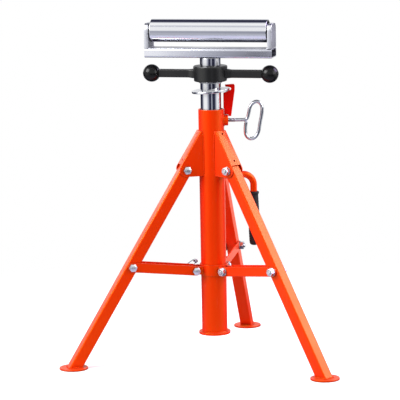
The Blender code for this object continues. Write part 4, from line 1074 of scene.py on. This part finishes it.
def dress_lock_ring():
    """Flat ring with rounded rims, at the tilt and place of its CAD node."""
    node = frame["nodes"]["lock_ring"]
    back = arm(CLAMP_AZIMUTH).inverted()
    points = np.array([back @ v.co for v in node.data.vertices])
    centre = (points.min(axis=0) + points.max(axis=0)) / 2
    tilt = math.radians(4.2)
    profile = tube_profile(44.4 * MM, 24.75 * MM, -2.5 * MM, 2.5 * MM, 1.0 * MM)
    place = arm(CLAMP_AZIMUTH) @ Matrix.Translation(Vector(centre)) @ Matrix.Rotation(-tilt, 4, "Y")
    piece("tilting_ring", [placed(profile, place)], CHROME, "ring", "lock_ring")


LOOP = [
    (56.0, 0.0), (68.0, 0.0), (76.0, 0.0), (81.5, 1.2), (85.5, 5.5), (89.0, 18.1), (91.2, 27.6), (96.1, 36.9),
    (106.2, 42.6), (115.6, 38.6), (120.1, 27.0), (118.7, 10.7), (115.0, -7.0), (111.4, -27.4), (103.7, -40.8),
    (92.8, -45.3), (84.1, -40.4), (80.3, -30.8), (80.5, -15.8), (82.0, -5.2)]


def dress_clamp():
    """The clamp screw: thread in the boss, plain neck and the rod bent into a hand loop."""
    line = smooth_line(np.array(LOOP) * MM, 10)
    path = np.stack([line[:, 0], 0 * line[:, 0], line[:, 1]], axis=-1)
    rod_shell = round_ended(path, 4.0 * MM, (0, 1, 0), 28)
    place = arm(CLAMP_AZIMUTH) @ Matrix.Translation((0, 0, CLAMP_Z))
    thread = threaded_rod(4.7 * MM, 30.05 * MM, 56.5 * MM, 1.5 * MM, 0.8 * MM, 40, 10, 0.8 * MM)
    shells = [placed(rod_shell, place), placed(thread, place @ LAID_ALONG_X)]
    piece("loop_screw", shells, ROD, "clamp", "clamp_screw")
    low = 24.75 * MM
    tip = lathe([(0, low + 5 * MM), (5.5 * MM, low + 5 * MM), (5.5 * MM, low), (0, low)], [0, 0.5 * MM, 0.9 * MM, 0], 48)
    piece("clamp_pad", [placed(tip, place @ LAID_ALONG_X)], STEEL, "clamp_end", "clamp_tip")


# Studio

def make_floor():
    """A wide pale floor that melts into the white background away from the stand; to gloss it is a painted
    reflection, dark behind the stand.
    """
    mesh = bpy.data.meshes.new("studio_floor")
    turn = angles(64)
    rings = np.array([0.0, 0.6, 1.2, 2.4, 6.0])[:, None]
    grid = np.stack([rings * np.cos(turn), rings * np.sin(turn), 0 * rings * turn], axis=-1)
    points, faces = grid_shell(grid)
    mesh.from_pydata(points.tolist(), [], faces.tolist())
    tidy_mesh(mesh)
    floor = bpy.data.objects.new("studio_floor", mesh)
    bpy.context.scene.collection.objects.link(floor)
    material = bpy.data.materials.new("pale_floor")
    material.use_nodes = True
    tree = material.node_tree
    wiring = Wiring(tree)
    shader = tree.nodes["Principled BSDF"]
    shader.inputs["Base Color"].default_value = (0.80, 0.80, 0.81, 1)
    shader.inputs["Roughness"].default_value = 0.9
    shader.inputs["Specular IOR Level"].default_value = 0.1
    place = wiring.add("ShaderNodeTexCoord").outputs["Object"]
    length = wiring.add("ShaderNodeVectorMath", operation="LENGTH")
    wiring.join(place, length.inputs[0])
    fade = wiring.spread(length.outputs["Value"], 0.55, 1.15)
    clear = wiring.add("ShaderNodeBsdfTransparent")
    glow = wiring.add("ShaderNodeEmission")
    glow.inputs["Strength"].default_value = 0.38
    ray = wiring.add("ShaderNodeLightPath").outputs["Is Camera Ray"]
    seen = wiring.add("ShaderNodeAddShader")
    wiring.join(shader.outputs[0], seen.inputs[0])
    wiring.join(glow.outputs[0], seen.inputs[1])
    # To other rays the floor is a mid grey; to gloss it is a painted reflection, blue-grey in front and near black
    # behind the stand.
    bounced = wiring.add("ShaderNodeBsdfDiffuse")
    gloss = wiring.add("ShaderNodeLightPath").outputs["Is Glossy Ray"]
    depth = wiring.add("ShaderNodeSeparateXYZ")
    wiring.join(place, depth.inputs[0])
    behind = wiring.spread(depth.outputs["Y"], -0.16, 0.02)
    painted_reflection = wiring.blend(behind, (0.46, 0.48, 0.56), (0.04, 0.043, 0.07))
    wiring.join(wiring.blend(gloss, (0.42, 0.42, 0.44), painted_reflection), bounced.inputs["Color"])
    camera_only = wiring.add("ShaderNodeMixShader")
    wiring.join(ray, camera_only.inputs[0])
    wiring.join(bounced.outputs[0], camera_only.inputs[1])
    wiring.join(seen.outputs[0], camera_only.inputs[2])
    melt = wiring.add("ShaderNodeMixShader")
    wiring.join(fade, melt.inputs[0])
    wiring.join(camera_only.outputs[0], melt.inputs[1])
    wiring.join(clear.outputs[0], melt.inputs[2])
    wiring.join(melt.outputs[0], tree.nodes["Material Output"].inputs["Surface"])
    mesh.materials.append(material)


# The camera fitted to the photograph: its bearing, tilt, roll, distance and where it looks
CAMERA_AZIMUTH = math.radians(14.144)
CAMERA_ELEVATION = math.radians(9.426)
CAMERA_ROLL = math.radians(-1.047)
CAMERA_DISTANCE = 5.42038
CAMERA_TARGET_Z = 0.38068
CAMERA_SIDE = -0.02972
FOCAL_PIXELS = 2292.64
PICTURE_PIXELS = 400


# What polished metal sees in the studio: brightness by angle over the top, from the front at
# 0 to the back at 180 with the floor below 0, and round the horizon from the camera's bearing
OVERHEAD = [
    (-180, 0.03), (-118, 0.03), (-104, 0.16), (-92, 0.34), (-80, 0.40), (-30, 0.56), (0, 0.66), (6, 0.95),
    (36, 0.95), (44, 0.66), (54, 0.72), (62, 1.0), (84, 1.0), (92, 0.55), (101, 0.08), (122, 0.02), (138, 0.06),
    (150, 0.4), (164, 0.85), (180, 0.85)]
HORIZON = [
    (-180, 0.03), (-150, 0.02), (-118, 0.03), (-102, 0.25), (-88, 0.85), (-76, 1.0), (-50, 1.0), (-41, 0.78),
    (-32, 0.54), (-24, 0.30), (-15, 0.03), (-2, 0.02), (4, 0.14), (10, 0.62), (14, 0.36), (20, 0.05), (34, 0.012),
    (44, 0.05), (52, 0.22), (60, 0.55), (72, 0.92), (94, 1.0), (106, 0.75), (122, 0.30), (142, 0.06), (180, 0.03)]
# The same horizon lower down, where a pale patch stands behind the stand on the right
LOW_HORIZON = HORIZON[:-2] + [(136, 0.10), (145, 1.0), (160, 1.0), (170, 0.03)]


def brightness_ramp(wiring, angle, stops, start=0.0):
    """A colour ramp of the stops' brightnesses over a full turn; shadows lean to blue."""
    node = wiring.add("ShaderNodeValToRGB")
    placed_stops = sorted((((degrees + start + 180) % 360) / 360, value) for degrees, value in stops)
    elements = node.color_ramp.elements
    while len(elements) < len(placed_stops):
        elements.new(0.5)
    for element, (position, value) in zip(elements, placed_stops):
        element.position = position
        red = value * (0.72 + 0.28 * value)
        green = value * (0.76 + 0.24 * value)
        blue = value * 0.98 + 0.02 * (1 - value)
        element.color = (red, green, blue, 1)
    wiring.join(wiring.spread(angle, -math.pi, math.pi), node.inputs["Fac"])
    return node.outputs["Color"]


def make_world():
    """White to the camera and through glass; gloss sees the studio; the rest is plain light."""
    world = bpy.data.worlds.new("studio_world")
    bpy.context.scene.world = world
    world.use_nodes = True
    wiring = Wiring(world.node_tree)
    path = wiring.add("ShaderNodeLightPath")
    parts = wiring.add("ShaderNodeSeparateXYZ")
    wiring.join(wiring.add("ShaderNodeTexCoord").outputs["Generated"], parts.inputs[0])
    to_front = wiring.maths("MULTIPLY", parts.outputs["Y"], -1.0)
    over = wiring.maths("ARCTAN2", parts.outputs["Z"], to_front)
    around = wiring.maths("ARCTAN2", parts.outputs["X"], to_front)
    overhead = brightness_ramp(wiring, over, OVERHEAD)
    level = brightness_ramp(wiring, around, HORIZON, math.degrees(CAMERA_AZIMUTH))
    lower = brightness_ramp(wiring, around, LOW_HORIZON, math.degrees(CAMERA_AZIMUTH))
    horizon = wiring.blend(wiring.spread(parts.outputs["Z"], -0.12, -0.145), level, lower)
    above = wiring.spread(parts.outputs["Z"], -0.46, -0.34)
    below = wiring.spread(parts.outputs["Z"], 0.02, -0.06)
    studio = wiring.blend(wiring.maths("MULTIPLY", above, below), overhead, horizon)
    unseen = wiring.blend(path.outputs["Is Glossy Ray"], (0.50, 0.50, 0.51), studio)
    direct = wiring.maths("MAXIMUM", path.outputs["Is Camera Ray"], path.outputs["Is Transmission Ray"])
    colour = wiring.blend(direct, unseen, (1.0, 1.0, 1.0))
    wiring.join(colour, world.node_tree.nodes["Background"].inputs["Color"])


def add_lamp(name, place, target, size, power, colour=(1.0, 1.0, 1.0)):
    data = bpy.data.lights.new(name, "AREA")
    data.shape = "RECTANGLE"
    data.size, data.size_y = size
    data.energy = power
    data.color = colour
    lamp = bpy.data.objects.new(name, data)
    bpy.context.scene.collection.objects.link(lamp)
    lamp.location = place
    lamp.rotation_mode = "QUATERNION"
    lamp.rotation_quaternion = (Vector(target) - Vector(place)).to_track_quat("-Z", "Y")


def lamp_place(azimuth, elevation, distance):
    """A place at that bearing and height angle from the middle of the stand."""
    a, e = math.radians(azimuth), math.radians(elevation)
    return (
        distance * math.cos(e) * math.cos(a), COLUMN_Y + distance * math.cos(e) * math.sin(a),
        0.45 + distance * math.sin(e))


def make_lamps():
    middle = (0, COLUMN_Y, 0.45)
    add_lamp("key_softbox", lamp_place(217, 34, 3.0), middle, (2.0, 1.7), 100)
    add_lamp("rim_right", lamp_place(27, 34, 6.0), middle, (3.4, 3.4), 230, (1.0, 0.84, 1.3))
    add_lamp("rim_left", lamp_place(136, 16, 5.0), middle, (2.4, 2.0), 16)
    add_lamp("front_fill", lamp_place(352, 20, 4.0), middle, (3.0, 2.4), 60)


def make_camera():
    data = bpy.data.cameras.new("photo_camera")
    data.sensor_width = 36.0
    data.lens = FOCAL_PIXELS * data.sensor_width / PICTURE_PIXELS
    data.clip_end = 50.0
    camera = bpy.data.objects.new("photo_camera", data)
    bpy.context.scene.collection.objects.link(camera)
    a, e, r = CAMERA_AZIMUTH, CAMERA_ELEVATION, CAMERA_ROLL
    back = Vector((math.sin(a) * math.cos(e), -math.cos(a) * math.cos(e), math.sin(e)))
    right = Vector((math.cos(a), math.sin(a), 0))
    up = back.cross(right)
    rolled_right = math.cos(r) * right + math.sin(r) * up
    rolled_up = -math.sin(r) * right + math.cos(r) * up
    place = Vector((0, COLUMN_Y, CAMERA_TARGET_Z)) + back * CAMERA_DISTANCE + right * CAMERA_SIDE
    turn = Matrix((rolled_right, rolled_up, back)).transposed().to_4x4()
    camera.matrix_world = Matrix.Translation(place) @ turn
    bpy.context.scene.camera = camera


make_camera()
dress_column()
dress_clamp_boss()
dress_hook()
dress_handle()
dress_legs()
dress_collar_and_struts()
dress_fasteners()
dress_post()
dress_jack()
dress_screw()
dress_base_bar()
dress_end_plates()
dress_roller()
dress_lock_ring()
dress_clamp()
make_floor()
make_world()
make_lamps()
bpy.context.scene.view_settings.view_transform = "Standard"
